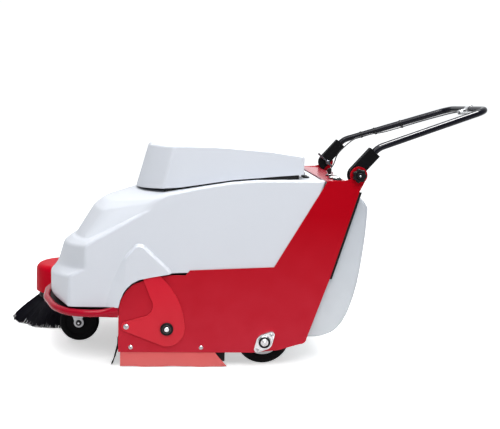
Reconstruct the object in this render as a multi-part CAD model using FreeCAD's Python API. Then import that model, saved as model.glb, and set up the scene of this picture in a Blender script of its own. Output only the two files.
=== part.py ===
import FreeCAD, Part
import math
import os
from FreeCAD import Vector as V

# Battery walk-behind sweeper. Millimetres. +X rearward (towards the handle), +Y the machine's right
# (the side brush's side), +Z up. The origin is on the floor, right below the middle of the rear axle.

# ---- driving dimensions ----
half_width = 310.0        # centre plane to the outer face of a side plate
plate_t = 3.0             # side plates
gap = 0.3                 # running clearance between pieces of different bodies
fit = 0.05                # radial clearance of a shaft in its hole

wheel_r, wheel_w = 100.0, 50.0
wheel_inset = 48.0        # side plate to the wheel's outer face
axle_r = 10.0
bearing_pitch = 71.5      # two-bolt flange, bolt to bolt

plate_front = -519.0
lug_x, lug_z, lug_r = 312.0, 706.0, 31.0
bolt_r = 5.0              # handle pivot bolt

arm_pivot = (-491.0, 152.0)
brush_axis = (-349.0, 144.0)
floor_gap = 2.0           # bristle tips to the floor
brush_core_r = 55.0
brush_lift_deg = 8.0
arm_t = 4.0

deck_z, deck_t = 190.0, 5.0
castor_r, castor_w = 75.0, 40.0
castor_x, castor_trail = -737.0, 40.0
bumper_r, bumper_z = 13.0, 200.0

side_x, side_out = -806.0, 40.0     # side brush axis, and how far it stands outside the side plate
side_reach = 222.0                  # bristle circle on the floor
guard_r, guard_bottom, guard_top = 125.0, 119.0, 237.0
side_hinge = (-560.0, 230.0)

tube_r = 12.5
bracket_w, bracket_wall = 45.0, 2.5
bracket_len = 99.0
bracket_angle = 48.8
crossbar_x, crossbar_half = 807.0, 195.0
loop_slope, tube_rise = 18.9, 19.5          # the loop's slope, and the straight tube above a bracket

hood_wall = 5.0
hood_bottom = 213.0
lid_wall = 4.0
lid_inset = 60.0          # side plate to the lid
hopper_wall = 5.0
tray_z, tray_t = 330.0, 3.0
pulley_big, pulley_small = 70.0, 25.0
motor_x, motor_z = -20.0, 385.0
belt_w, belt_t = 9.4, 5.0

# ---- values that follow ----
inner = half_width - plate_t              # inner face of a side plate
between = inner - gap                     # half length of what stands between the plates
side_y = half_width + side_out
plate_bottom = wheel_r - 43.0
bracket_d = 2 * (tube_r + bracket_wall + gap)   # the tube slides into the bracket
axle_z = wheel_r
wheel_out = half_width - wheel_inset
brush_r = brush_axis[1] - floor_gap
arm_in = half_width + 1.0                 # inner face of a swing arm
arm_out = arm_in + arm_t
hood_half = inner - 0.5
lid_half = half_width - lid_inset
castor_wheel_x = castor_x + castor_trail
belt_y = half_width - 26.0                # middle plane of the traction belt
panel_z = 684.0
tube_y = half_width - plate_t - gap - bracket_d / 2


# ---- helpers ----
def box(x0, x1, y0, y1, z0, z1):
    return Part.makeBox(x1 - x0, y1 - y0, z1 - z0, V(x0, y0, z0))


def rod_x(y, z, r, x0, x1):
    return Part.makeCylinder(r, x1 - x0, V(x0, y, z), V(1, 0, 0))


def rod_y(x, z, r, y0, y1):
    return Part.makeCylinder(r, y1 - y0, V(x, y0, z), V(0, 1, 0))


def rod_z(x, y, r, z0, z1):
    return Part.makeCylinder(r, z1 - z0, V(x, y, z0), V(0, 0, 1))


def wire_xz(points, y=0.0):
    return Part.makePolygon([V(x, y, z) for x, z in points + points[:1]])


def prism_y(points, y0, y1):
    """Outline in X and Z, thick from y0 to y1."""
    return Part.Face(wire_xz(points, y0)).extrude(V(0, y1 - y0, 0))


def prism_z(points, z0, z1):
    """Outline in X and Y, thick from z0 to z1."""
    outline = Part.makePolygon([V(x, y, z0) for x, y in points + points[:1]])
    return Part.Face(outline).extrude(V(0, 0, z1 - z0))


def spun_y(outline, x=0.0, z=0.0):
    """Outline of (radius, y) turned about the line along Y through (x, z)."""
    wire = Part.makePolygon([V(x + r, y, z) for r, y in outline + outline[:1]])
    return Part.Face(wire).revolve(V(x, 0, z), V(0, 1, 0), 360)


def spun_z(outline, x=0.0, y=0.0):
    """Outline of (radius, z) turned about the line along Z through (x, y)."""
    wire = Part.makePolygon([V(x + r, y, z) for r, z in outline + outline[:1]])
    return Part.Face(wire).revolve(V(x, y, 0), V(0, 0, 1), 360)


def flip(shape):
    """The same piece on the machine's other side."""
    return shape.mirror(V(0, 0, 0), V(0, 1, 0))


def inset(points, t):
    """Outline moved inwards by t, with mitred corners."""
    area = sum(a[0] * b[1] - b[0] * a[1] for a, b in zip(points, points[1:] + points[:1]))
    side = 1.0 if area > 0 else -1.0
    moved = []
    for i, p in enumerate(points):
        q, s = points[i - 1], points[(i + 1) % len(points)]
        a = V(p[0] - q[0], p[1] - q[1], 0).normalize()
        b = V(s[0] - p[0], s[1] - p[1], 0).normalize()
        normal_a, normal_b = V(-a.y, a.x, 0) * side, V(-b.y, b.x, 0) * side
        mitre = normal_a + normal_b
        mitre = mitre * (t / max(0.2, mitre.dot(normal_a)))
        moved.append((p[0] + mitre.x, p[1] + mitre.y))
    return moved


def hull(a, ra, b, rb):
    """Face in X and Z around two circles, with straight tangents."""
    d = V(b[0] - a[0], 0, b[1] - a[1])
    along = V(d).normalize()
    across = V(-along.z, 0, along.x)
    c = (ra - rb) / d.Length
    s = math.sqrt(1 - c * c)
    at_a, at_b = V(a[0], 0, a[1]), V(b[0], 0, b[1])
    a1, a2 = at_a + (along * c + across * s) * ra, at_a + (along * c - across * s) * ra
    b1, b2 = at_b + (along * c + across * s) * rb, at_b + (along * c - across * s) * rb
    edges = [
        Part.Arc(a2, at_a - along * ra, a1).toShape(),
        Part.makeLine(a1, b1),
        Part.Arc(b1, at_b + along * rb, b2).toShape(),
        Part.makeLine(b2, a2),
    ]
    return Part.Face(Part.Wire(edges))


def hull_y(a, ra, b, rb, y0, y1):
    face = hull(a, ra, b, rb)
    face.translate(V(0, y0, 0))
    return face.extrude(V(0, y1 - y0, 0))


def rounded(points, radii):
    """Straight runs joined by tangent arcs, one radius for each inner point."""
    edges, start = [], points[0]
    for p, q, s, r in zip(points, points[1:], points[2:], radii):
        a, b = (p - q).normalize(), (s - q).normalize()
        half = a.getAngle(b) / 2
        reach = r / math.tan(half)
        t1, t2 = q + a * reach, q + b * reach
        middle = q + (a + b).normalize() * (r / math.sin(half) - r)
        edges.append(Part.makeLine(start, t1))
        edges.append(Part.Arc(t1, middle, t2).toShape())
        start = t2
    edges.append(Part.makeLine(start, points[-1]))
    return Part.Wire(edges)


def bend_radii(points, share=0.45):
    """The largest arcs that a route's runs leave room for."""
    radii = []
    for p, q, s in zip(points, points[1:], points[2:]):
        turn = math.pi - (p - q).getAngle(s - q)
        radii.append(share * min((p - q).Length, (s - q).Length) / math.tan(turn / 2))
    return radii


def tube_along(path, r, first, second):
    ring = Part.Wire(Part.makeCircle(r, first, second - first))
    return path.makePipeShell([ring], True, True)


def save(name, *shapes):
    shape = shapes[0] if len(shapes) == 1 else Part.makeCompound(list(shapes))
    shape.exportStep("parts/" + name + ".step")


os.makedirs("parts", exist_ok=True)

# ---- side plates: 3 mm sheet steel, with the lug that carries the handle ----
rear_low, rear_mid, rear_top = (154.0, plate_bottom + 55), (227.0, 331.0), (318.0, 648.0)
arch_steps = [(-333.0, 338.0), (-405.0, 325.0), (-468.0, 303.0), (-502.0, 264.0), (plate_front, 184.0)]


def xz(p, y=0.0):
    return V(p[0], y, p[1])


def plate_edges():
    corner = [(131.0, plate_bottom + 33), (148.0, plate_bottom + 40), rear_low]
    top = [rear_mid, rear_top, (lug_x + lug_r - 1.5, lug_z - 8), (lug_x, lug_z), (281.0, lug_z - 14),
           (265.0, panel_z + 3), (204.0, panel_z), (25.5, 372.0), (-271.0, 356.0), (-286.0, 338.5)]
    low = [(plate_front, plate_bottom), (-39.0, plate_bottom), (53.0, plate_bottom + 10),
           (91.0, plate_bottom + 21)]
    edges = [Part.makeLine(xz(a), xz(b)) for a, b in zip(low, low[1:] + corner[:1])]
    edges.append(Part.Arc(*[xz(p) for p in corner]).toShape())
    run = [rear_low] + top + arch_steps[:1]
    edges += [Part.makeLine(xz(a), xz(b)) for a, b in zip(run, run[1:])]
    edges.append(Part.Arc(*[xz(p) for p in arch_steps[:3]]).toShape())
    edges.append(Part.Arc(*[xz(p) for p in arch_steps[2:]]).toShape())
    edges.append(Part.makeLine(xz(arch_steps[-1]), xz(low[0])))
    return edges


flange_bolts = [(s * bearing_pitch / 2 * math.cos(math.radians(48)),
                 axle_z + s * bearing_pitch / 2 * math.sin(math.radians(48))) for s in (-1, 1)]
plate_bolts = [(-475.0, plate_bottom + 18), (-226.0, plate_bottom + 18)]
lift = math.radians(brush_lift_deg)
reach_x, reach_z = brush_axis[0] - arm_pivot[0], brush_axis[1] - arm_pivot[1]
brush_raised = (arm_pivot[0] + reach_x * math.cos(lift) - reach_z * math.sin(lift),
                arm_pivot[1] + reach_x * math.sin(lift) + reach_z * math.cos(lift))
brush_shaft_r, pivot_r, plate_bolt_r = 10.0, 8.0, 5.0
boss_r = 18.0                              # bearing boss that passes through the swing arm

plate = Part.Face(Part.Wire(plate_edges())).extrude(V(0, plate_t, 0))
plate = plate.fuse(rod_y(lug_x, lug_z, lug_r, 0, plate_t)).removeSplitter()
plate.translate(V(0, -half_width, 0))
holes = [rod_y(lug_x, lug_z, bolt_r + fit, -half_width - 1, -inner + 1),
         rod_y(0, axle_z, 24.0, -half_width - 1, -inner + 1),
         rod_y(*arm_pivot, pivot_r + fit, -half_width - 1, -inner + 1),
         hull_y(brush_axis, brush_shaft_r + 4, brush_raised, brush_shaft_r + 3.99, -half_width - 1,
                -inner + 1)]
holes += [rod_y(x, z, plate_bolt_r, -half_width - 1, -inner + 1) for x, z in plate_bolts]
holes += [rod_y(x, z, 4.0, -half_width - 1, -inner + 1) for x, z in flange_bolts]
plate = plate.cut(Part.makeCompound(holes))
save("side_plate_left", plate)
save("side_plate_right", flip(plate))

seal = prism_y([(rear_mid[0] - 6, rear_mid[1]), (rear_mid[0] + 9, rear_mid[1]),
                (rear_top[0] + 10, rear_top[1] - 2), (rear_top[0] - 6, rear_top[1] - 2)], -inner + gap,
                -inner + 9)
save("rear_edge_seals", seal, flip(seal))

# ---- cross members between the side plates ----
front_plate = box(plate_front, plate_front + 3, -between, between, plate_bottom + 18, hood_bottom - gap)

tunnel_r = brush_axis[0] - (plate_front + 3)   # outer radius, so that it meets the front plate
tunnel_z, tunnel_t = 150.0, 2.5
bulkhead_x = -109.0


tunnel_tail = math.radians(30)                 # where the arc over the brush ends and the rear ramp begins
tunnel_end = V(bulkhead_x, 0, tray_z - 27)


def tunnel_line(t):
    """The tunnel's face t under its outer one, from the front lip over the brush to the bulkhead."""
    r, centre = tunnel_r - t, V(brush_axis[0], 0, tunnel_z)
    ramp_foot = centre + V(math.cos(tunnel_tail), 0, math.sin(tunnel_tail)) * tunnel_r
    ramp = (tunnel_end - ramp_foot).normalize()
    start = ramp_foot + V(ramp.z, 0, -ramp.x) * t
    out, along = start - centre, (start - centre).dot(ramp)
    meet = start + ramp * (math.sqrt(along ** 2 - out.dot(out) + r ** 2) - along)
    return [V(centre.x - r, 0, plate_bottom + 3), centre - V(r, 0, 0), centre + V(0, 0, r), meet,
            start + ramp * ((bulkhead_x - start.x) / ramp.x)]


outer_line, inner_line = tunnel_line(0), tunnel_line(tunnel_t)
tunnel_wire = Part.Wire([
    Part.makeLine(outer_line[0], outer_line[1]), Part.Arc(*outer_line[1:4]).toShape(),
    Part.makeLine(outer_line[3], outer_line[4]), Part.makeLine(outer_line[4], inner_line[4]),
    Part.makeLine(inner_line[4], inner_line[3]), Part.Arc(*inner_line[3:0:-1]).toShape(),
    Part.makeLine(inner_line[1], inner_line[0]), Part.makeLine(inner_line[0], outer_line[0])])
tunnel = Part.Face(tunnel_wire).extrude(V(0, 2 * between, 0))
tunnel.translate(V(0, -between, 0))
save("brush_tunnel", tunnel)

bin_floor = axle_z + 50.0
mouth_half = half_width - 125.0            # half width of the way from the brush into the hopper
bulkhead = box(bulkhead_x, bulkhead_x + 3, -between, between, bin_floor, tray_z)
bulkhead = bulkhead.cut(box(bulkhead_x - 1, bulkhead_x + 4, -mouth_half, mouth_half, bin_floor + 8,
                            tray_z - 30))
save("bulkhead", bulkhead)
chute = prism_y([(-149, plate_bottom + 5), (-146, plate_bottom + 5), (-146, plate_bottom + 18),
                 (bulkhead_x + 3, bin_floor - gap), (bulkhead_x, bin_floor - gap), (-149, plate_bottom + 20)],
                -between, between)
save("cross_plates", front_plate, chute)

tank_x = wheel_r + 20.0                     # front of the hopper's tank, behind the wheels
tray = box(-385, tank_x - 2, -between, between, tray_z, tray_z + tray_t)
filter_box = (-55.0, 75.0, 180.0 - half_width, half_width - 200.0)
fx0, fx1, fy0, fy1 = filter_box
filter_lip = 8.0
tray = tray.cut(box(fx0 + filter_lip, fx1 - filter_lip, fy0 + filter_lip, fy1 - filter_lip,
                    tray_z - 1, tray_z + tray_t + 1))
tray = tray.cut(box(-75, 45, belt_y - 20, between + 1, tray_z - 1, tray_z + tray_t + 1))

# ---- drawer rails under the tray, for the hopper's flanges ----
bin_half, flange_w, flange_t, bin_top = half_width - 110.0, 14.0, 6.0, tray_z - 5.0
rail_z, mouth_x = bin_top - flange_t - gap, -100.0
rail = box(mouth_x, tank_x - 2, bin_half + 3, bin_half + flange_w + 3.5, rail_z - 3, rail_z)
rail = rail.fuse(box(mouth_x, tank_x - 2, bin_half + flange_w + 0.5, bin_half + flange_w + 3.5, rail_z,
                     tray_z))
rail = rail.removeSplitter()
save("battery_tray", tray, rail, flip(rail))

# ---- nose deck, bumper ----
nose_side, nose_depth = -687.0, 116.0      # hood nose at the sides, and how far it bows forwards


def nose(y, extra=0.0):
    """Front line of the hood in plan."""
    return nose_side - nose_depth * (1 - min(1.0, abs(y) / hood_half) ** 1.6) - extra


deck_y = [hood_half * k / 6 for k in range(-6, 7)]
deck = prism_z([(plate_front, -between)] + [(nose(y, 8.0), y) for y in deck_y] + [(plate_front, between)],
               deck_z, deck_z + deck_t)
castor_pin_r = 8.0
deck = deck.cut(rod_z(castor_x, 0, castor_pin_r + 3, deck_z - 1, deck_z + deck_t + 1))

bumper_y = half_width + 8.0
bumper_path = [V(plate_front + 2, -half_width, bumper_z), V(plate_front - 45, -bumper_y, bumper_z),
               V(nose_side + 2, -bumper_y, bumper_z)]
bumper_path += [V(nose(y, out), y, bumper_z) for y, out in
                ((70 - half_width, 27), (-110, 22), (30, 20), (half_width - 185, 18), (half_width - 135, 4))]
bumper = tube_along(rounded(bumper_path, [60, 50, 120, 160, 120, 30]), bumper_r, bumper_path[0],
                    bumper_path[1])
deck_slot = prism_z([(0, -between), (nose(-between, 8.0), -between)] + [(nose(y, 8.3), y) for y in deck_y] +
                    [(0, between)], deck_z - gap, deck_z + deck_t + gap)
behind = box(plate_front, plate_front + 60, -bumper_y - 20, 0, bumper_z - 20, bumper_z + 20)
bumper = bumper.cut([deck_slot, behind, plate])
save("bumper", bumper)

# ---- hood: rotomoulded shell with a two-step nose ----
side_line = [(-687, hood_bottom + 7), (-687, 322), (-681, 331), (-631, 355), (-631, 434), (-615, 447),
             (-494, 523),
             (-417, 563), (-394, 596), (-352, 620), (-221, 650), (-133, 666), (-44, 675), (193, 681)]
centre_line = [(-803, hood_bottom), (-803, 290), (-791, 302), (-777, 322), (-752, 405), (-722, 428),
               (-709, 432),
               (-640, 545), (-606, 573), (-492, 614), (-221, 648), (-133, 662), (-44, 672), (193, 684)]
hood_rear = 110.0


def hood_outline(y):
    """Side view of the hood, cut at y: its lines run from the side line to the centre line."""
    f = min(1.0, abs(y) / hood_half)
    weight = f ** 1.6
    edge = 9.0 * min(1.0, (1 - f) * hood_half / 18.0) * f
    points = []
    for i, (s, c) in enumerate(zip(side_line, centre_line)):
        rise = (edge if i < 9 else 2.0 * edge / 9.0) if i > 5 else 0.0
        points.append((s[0] * weight + c[0] * (1 - weight), s[1] * weight + c[1] * (1 - weight) + rise))
    return points + [(hood_rear, 345.0), (hood_rear, hood_bottom)]


def hood_solid(t):
    ends = [hood_half, hood_half - 18]
    middle = [k * (hood_half - 66.5) / 3 for k in range(-3, 4)]
    stations = [k * (hood_half - t) / hood_half for k in [-e for e in ends] + middle + ends[::-1]]
    wires = []
    for y in stations:
        outline = hood_outline(y * hood_half / (hood_half - t))
        if t:
            outline = inset(outline, t)
            outline[0] = (outline[0][0], 100.0)
            outline[-1] = (outline[-1][0], 100.0)
        wires.append(wire_xz(outline, y))
    return Part.makeLoft(wires, True, True)


boss_line = [(-512, 240), (-500, 405), (-462, 449), (-436, 449), (-332, 352), (-332, 300), (-400, 240)]
boss_out = arm_out + gap + hood_wall + 1.0
boss = Part.makeLoft([wire_xz(boss_line, -hood_half), wire_xz(inset(boss_line, 9.0), -boss_out)], True, True)
pocket = prism_y(inset(boss_line, 14.0), -boss_out + hood_wall, -hood_half + hood_wall + 3)
arch_gap = 7.0
arch = [(plate_front - 3, 100.0), (plate_front - 3, 200.0), (-514, 243), (-502, 273), (-472, 310),
        (-448, 323),
        (-405, 325 + arch_gap), (-333, 338 + arch_gap), (-290, 347), (hood_rear + 1, 347),
        (hood_rear + 1, 100)]
under = prism_y(arch, -boss_out - 1, boss_out + 1)
opening_half = lid_half - 60.0
hood_opening = (-300.0, 60.0, -opening_half, opening_half)

hood = hood_solid(0).fuse([boss, flip(boss)]).cut([hood_solid(hood_wall), pocket, flip(pocket), under])
hood = hood.cut(box(*hood_opening, 600, 720))
save("hood", hood)

# ---- lid: a second moulded shell on a rear hinge ----
lid_rear = 126.0
lid_side = [(-388, 628), (-334, 784), (-267, 786), (-178, 786), (3, 776), (lid_rear - 1, 761),
            (lid_rear, 698),
            (51, 691), (-130, 672), (-309, 642)]
lid_mid = [(-481, 623), (-436, 784), (-392, 799), (-200, 810), (-19, 798), (lid_rear - 1, 768),
           (lid_rear, 698),
           (51, 691), (-130, 672), (-309, 642)]


def lid_outline(y):
    f = min(1.0, abs(y) / lid_half) ** 2.2
    return [(s[0] * f + c[0] * (1 - f), s[1] * f + c[1] * (1 - f)) for s, c in zip(lid_side, lid_mid)]


def lid_solid(t):
    wires = []
    for k in (-1, -0.95, -0.7, -0.35, 0, 0.35, 0.7, 0.95, 1):
        outline = lid_outline(k * lid_half)
        if t:
            outline = inset(outline, t)
            for i in (0, 6, 7, 8, 9):
                outline[i] = (outline[i][0], outline[i][1] - 4 * t)
        wires.append(wire_xz(outline, k * (lid_half - t)))
    return Part.makeLoft(wires, True, True)


save("lid", lid_solid(0).cut(lid_solid(lid_wall)))

# ---- lid hinges: two pinned butt hinges behind the lid ----
hinge_x, hinge_z, pin_r, knuckle_r = 133.0, 699.0, 2.5, 5.0
leaf_fixed, leaf_lid, hinge_pins = [], [], []
for centre in (80.0 - lid_half, lid_half - 80.0):
    base = [(hinge_x + 1, hinge_z - 25), (hinge_x + 22, hinge_z - 25), (hinge_x + 22, hinge_z - 12),
            (hinge_x + 5, hinge_z - 12), (hinge_x + 5, hinge_z), (hinge_x + 1, hinge_z)]
    pin_hole = rod_y(hinge_x, hinge_z, pin_r + fit, centre - 40, centre + 40)
    for s in (-1, 1):
        y0, y1 = sorted((centre + s * 10.3, centre + s * 30))
        knuckle = rod_y(hinge_x, hinge_z, knuckle_r, y0, y1).fuse(prism_y(base, y0, y1))
        leaf_fixed.append(knuckle.cut([pin_hole, hood_solid(0)]).removeSplitter())
    tongue = box(lid_rear, hinge_x - 1, centre - 10, centre + 10, hinge_z + 1, hinge_z + 30)
    tongue = tongue.fuse(rod_y(hinge_x, hinge_z, knuckle_r, centre - 10, centre + 10))
    leaf_lid.append(tongue.cut(rod_y(hinge_x, hinge_z, pin_r, centre - 40, centre + 40)).cut(
        box(0, lid_rear, centre - 20, centre + 20, 600, 760)))
    hinge_pins.append(rod_y(hinge_x, hinge_z, pin_r, centre - 30, centre + 30))
save("lid_hinge_base", *leaf_fixed)
save("lid_hinge_leaf", *leaf_lid, *hinge_pins)

seal_top = [(-370, 631), (-309, 642), (-130, 672), (51, 691), (110, 696)]
strip = [(x, z - 0.5) for x, z in seal_top] + [(x, z - 26) for x, z in reversed(seal_top)]
lid_seal = prism_y(strip, -lid_half + 1, -lid_half + 13)
lid_seal = lid_seal.cut(hood_solid(0))

# ---- rear axle, wheels and flange bearings ----
left_bearing = hull_y((0, axle_z), 30, flange_bolts[0], 13, -half_width - 11, -half_width)
left_bearing = left_bearing.fuse(hull_y((0, axle_z), 30, flange_bolts[1], 13, -half_width - 11, -half_width))
left_bearing = left_bearing.fuse(rod_y(0, axle_z, 23.7, -half_width - 15, -inner + 5)).removeSplitter()
left_bearing = left_bearing.cut(rod_y(0, axle_z, axle_r + fit, -half_width - 20, 0))
left_bearing = left_bearing.cut([rod_y(x, z, 4.0, -half_width - 20, -half_width + 1)
                                 for x, z in flange_bolts])
seal_ring = spun_y([(13, -half_width - 17), (21, -half_width - 17), (21, -half_width - 15),
                    (13, -half_width - 15)],
                   0, axle_z)
save("axle_bearings", left_bearing, flip(left_bearing), seal_ring, flip(seal_ring))
flange_screws = []
for x, z in flange_bolts:
    screw = rod_y(x, z, 3.9, -half_width - 11, -inner).fuse(rod_y(x, z, 6.5, -half_width - 17,
                                                                  -half_width - 11))
    flange_screws += [screw, flip(screw)]

axle_end = half_width + 18.0
end_bolt = rod_y(0, axle_z, 9.0, -axle_end - 5, -axle_end).cut(rod_y(0, axle_z, 4.0, -axle_end - 6,
                                                                     -axle_end - 2))
save("rear_axle", rod_y(0, axle_z, axle_r, -axle_end, axle_end), end_bolt, flip(end_bolt))

rim_r, hub_r = wheel_r * 0.68, 24.0
w0, w1 = -wheel_out, -wheel_out + wheel_w
tyre = spun_y([(rim_r, w0 + 6), (wheel_r - 8, w0), (wheel_r, w0 + 7), (wheel_r, w1 - 7), (wheel_r - 8, w1),
               (rim_r, w1 - 6)], 0, axle_z)
save("rear_tyres", tyre, flip(tyre))
rim = spun_y([(axle_r, w0 - 2), (hub_r, w0 - 2), (hub_r, w0 + 16), (rim_r - 12, w0 + 16),
              (rim_r - 10, w0 + 7),
              (rim_r, w0 + 7), (rim_r, w1 - 7), (rim_r - 10, w1 - 7), (rim_r - 12, w1 - 16), (hub_r, w1 - 16),
              (hub_r, w1 + 2), (axle_r, w1 + 2)], 0, axle_z)
save("rear_rims", rim, flip(rim))

# ---- traction drive: motor on the tray, belt down to the axle, idler worked by the cable ----
groove, flange_rim, side_t = belt_w / 2 + gap, 6.0, 3.0


def pulley(x, z, r, bore):
    e = groove + side_t
    return spun_y([(bore, -e), (r + flange_rim, -e), (r + flange_rim, -groove), (r, -groove), (r, groove),
                   (r + flange_rim, groove), (r + flange_rim, e), (bore, e)], x, z)


motor_shaft_r, motor_r = 7.0, 42.0
small = pulley(motor_x, motor_z, pulley_small, motor_shaft_r)
small.translate(V(0, belt_y, 0))
big = pulley(0, axle_z, pulley_big, axle_r)
big.translate(V(0, belt_y, 0))
save("axle_pulley", big)
motor_face = wheel_out
save("motor_pulley", small,
     rod_y(motor_x, motor_z, motor_shaft_r, motor_face - 30, belt_y + groove + side_t))
motor = rod_y(motor_x, motor_z, motor_r, motor_face - 112, motor_face)
motor = motor.fuse(box(motor_x - 30, motor_x + 30, motor_face - 100, motor_face - 12, tray_z + tray_t,
                       motor_z))
motor = motor.cut(rod_y(motor_x, motor_z, motor_shaft_r + fit, motor_face - 31,
                        motor_face + 1)).removeSplitter()
save("traction_motor", motor)
loop_in = hull_y((motor_x, motor_z), pulley_small + gap, (0, axle_z), pulley_big + gap,
                 belt_y - belt_w, belt_y + belt_w)
loop = hull_y((motor_x, motor_z), pulley_small + gap + belt_t, (0, axle_z), pulley_big + gap + belt_t,
              belt_y - belt_w / 2, belt_y + belt_w / 2)
save("traction_belt", loop.cut(loop_in))

idler_pivot = (-88.0, 305.0)
idler_r, idler_play = 12.0, 5.0
run_t = (idler_pivot[1] - 65 - axle_z) / (motor_z - axle_z)
run_x = -(pulley_big + belt_t + gap) * (1 - run_t) + (motor_x - pulley_small - belt_t - gap) * run_t
idler_axis = (run_x - idler_r - idler_play, idler_pivot[1] - 65)
idler_y = belt_y + groove + side_t + 2.0      # inner face of the idler's arm, outboard of the pulleys
idler_arm = hull_y(idler_pivot, 9, idler_axis, 8, idler_y, idler_y + 4)
idler_arm = idler_arm.cut(rod_y(*idler_pivot, 5 + fit, idler_y - 1, idler_y + 5))
idler_arm = idler_arm.fuse(rod_y(*idler_axis, 4, belt_y - 6, idler_y))
idler_roller = spun_y([(4.05, -5.5), (idler_r, -5.5), (idler_r, 5.5), (4.05, 5.5)], *idler_axis)
idler_roller.translate(V(0, belt_y, 0))
save("belt_idler", idler_arm, idler_roller)
pin = rod_y(*idler_pivot, 5, idler_y - 0.5, inner).fuse(rod_y(*idler_pivot, 9, idler_y + 4 + gap, inner))
idler_pin = pin.fuse(rod_y(*idler_pivot, 7, idler_y - 3, idler_y - gap)).removeSplitter()

# ---- batteries, fan, filter, controller under the hood ----
floor_z = tray_z + tray_t
batteries = []
for s in (-1, 1):
    y0, y1 = sorted((s * 5.0, s * (opening_half - 18.0)))
    body = box(-382, -70, y0, y1, floor_z, floor_z + 205)
    posts = [rod_z(x, (y0 + y1) / 2 + s * 40, 8, floor_z + 205, floor_z + 217) for x in (-350, -102)]
    batteries.append(body.fuse(posts))
save("batteries", *batteries)
save("dust_filter", box(fx0, fx1, fy0, fy1, floor_z, floor_z + 36))
fan_x, fan_y = (fx0 + fx1) / 2, (fy0 + fy1) / 2
fan = rod_z(fan_x, fan_y, 62, floor_z + 36, floor_z + 84).fuse(rod_z(fan_x, fan_y, 38, floor_z + 84,
                                                                     floor_z + 130))
save("suction_fan", fan.fuse(box(fan_x, fan_x + 62, fan_y - 60, fan_y - 20, floor_z + 36,
                                 floor_z + 80)).removeSplitter())
save("motor_controller", box(-60, 60, 20 - half_width, 130 - half_width, floor_z, floor_z + 50))

# ---- hopper: moulded bin on the rails, and the tall rear tank ----
tank_half = half_width - 20.0
tank_line = [(tank_x, 112), (tank_x + 46, 110), (206, 129), (249, 156), (287, 205), (315, 288), (338, 399),
             (353, 528),
             (353, 593), (319, 617), (300, 640), (222, 640), (tank_x + 30, bin_top),
             (tank_x, bin_top)]
bin_body = box(mouth_x, tank_x + 2, -bin_half, bin_half, bin_floor, bin_top)
bin_body = bin_body.fuse(box(mouth_x, tank_x - 2, -bin_half - flange_w, bin_half + flange_w,
                             bin_top - flange_t, bin_top))
hopper = prism_y(tank_line, -tank_half, tank_half).fuse(bin_body)
hollow = prism_y(inset(tank_line, hopper_wall), -tank_half + hopper_wall, tank_half - hopper_wall)
bin_hollow = box(mouth_x + hopper_wall, tank_x + 10, -bin_half + hopper_wall, bin_half - hopper_wall,
                 bin_floor + hopper_wall, bin_top - hopper_wall)
bin_mouth = box(mouth_x - 1, mouth_x + 6, -mouth_half, mouth_half, bin_floor + 10, bin_top - 25)
roof_hole = box(fx0 + filter_lip, fx1 - filter_lip, fy0 + filter_lip, fy1 - filter_lip, bin_top - 10,
                bin_top + 1)
grip_slot = box(330, 370, -60, 60, 555, 580)
hopper = hopper.cut([hollow, bin_hollow, bin_mouth, roof_hole, grip_slot]).removeSplitter()
save("hopper", hopper)
mouth_seal = box(bulkhead_x + 3, mouth_x - gap, -mouth_half - 10, mouth_half + 10, bin_floor + 2,
                 bin_top - 12)
mouth_seal = mouth_seal.cut(box(bulkhead_x, mouth_x, -mouth_half, mouth_half, bin_floor + 10, bin_top - 25))

# ---- main brush on its swing arms ----
lobe_r = 64.0
arm_edges = [
    Part.Arc(xz((-374, 334)), xz((-314, 257)), xz((brush_axis[0] + lobe_r, brush_axis[1] + 8))).toShape(),
    Part.Arc(xz((brush_axis[0] + lobe_r, brush_axis[1] + 8)), xz((brush_axis[0] + 42, brush_axis[1] - 48.5)),
             xz((brush_axis[0] - 12, brush_axis[1] - 63))).toShape(),
    Part.makeLine(xz((brush_axis[0] - 12, brush_axis[1] - 63)), xz((arm_pivot[0] - 5, arm_pivot[1] - 17))),
    Part.Arc(xz((arm_pivot[0] - 5, arm_pivot[1] - 17)), xz((arm_pivot[0] - 17, arm_pivot[1] + 5)),
             xz((arm_pivot[0] - 2, arm_pivot[1] + 18))).toShape(),
    Part.makeLine(xz((arm_pivot[0] - 2, arm_pivot[1] + 18)), xz((-436, 187))),
    Part.Arc(xz((-436, 187)), xz((-402, 212)), xz((-406, 252))).toShape(),
    Part.makeLine(xz((-406, 252)), xz((-432, 318))),
    Part.makeLine(xz((-432, 318)), xz((-440, 352))),
    Part.makeLine(xz((-440, 352)), xz((-386, 352))),
    Part.makeLine(xz((-386, 352)), xz((-374, 334))),
]
crossbar = (-414.0, 340.0)
arm = Part.Face(Part.Wire(arm_edges)).extrude(V(0, arm_t, 0))
arm.translate(V(0, -arm_out, 0))
arm = arm.cut([rod_y(*arm_pivot, pivot_r + fit, -arm_out - 1, -arm_in + 1),
               rod_y(*brush_axis, boss_r + fit, -arm_out - 1, -arm_in + 1)])
save("swing_arms", arm, flip(arm), rod_y(*crossbar, 8, -arm_in, arm_in))
pivot_bolt = rod_y(*arm_pivot, pivot_r, -arm_out - gap, -inner + 4)
pivot_bolt = pivot_bolt.fuse(rod_y(*arm_pivot, 10.5, -arm_out - 7, -arm_out - gap)).removeSplitter()

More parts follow.
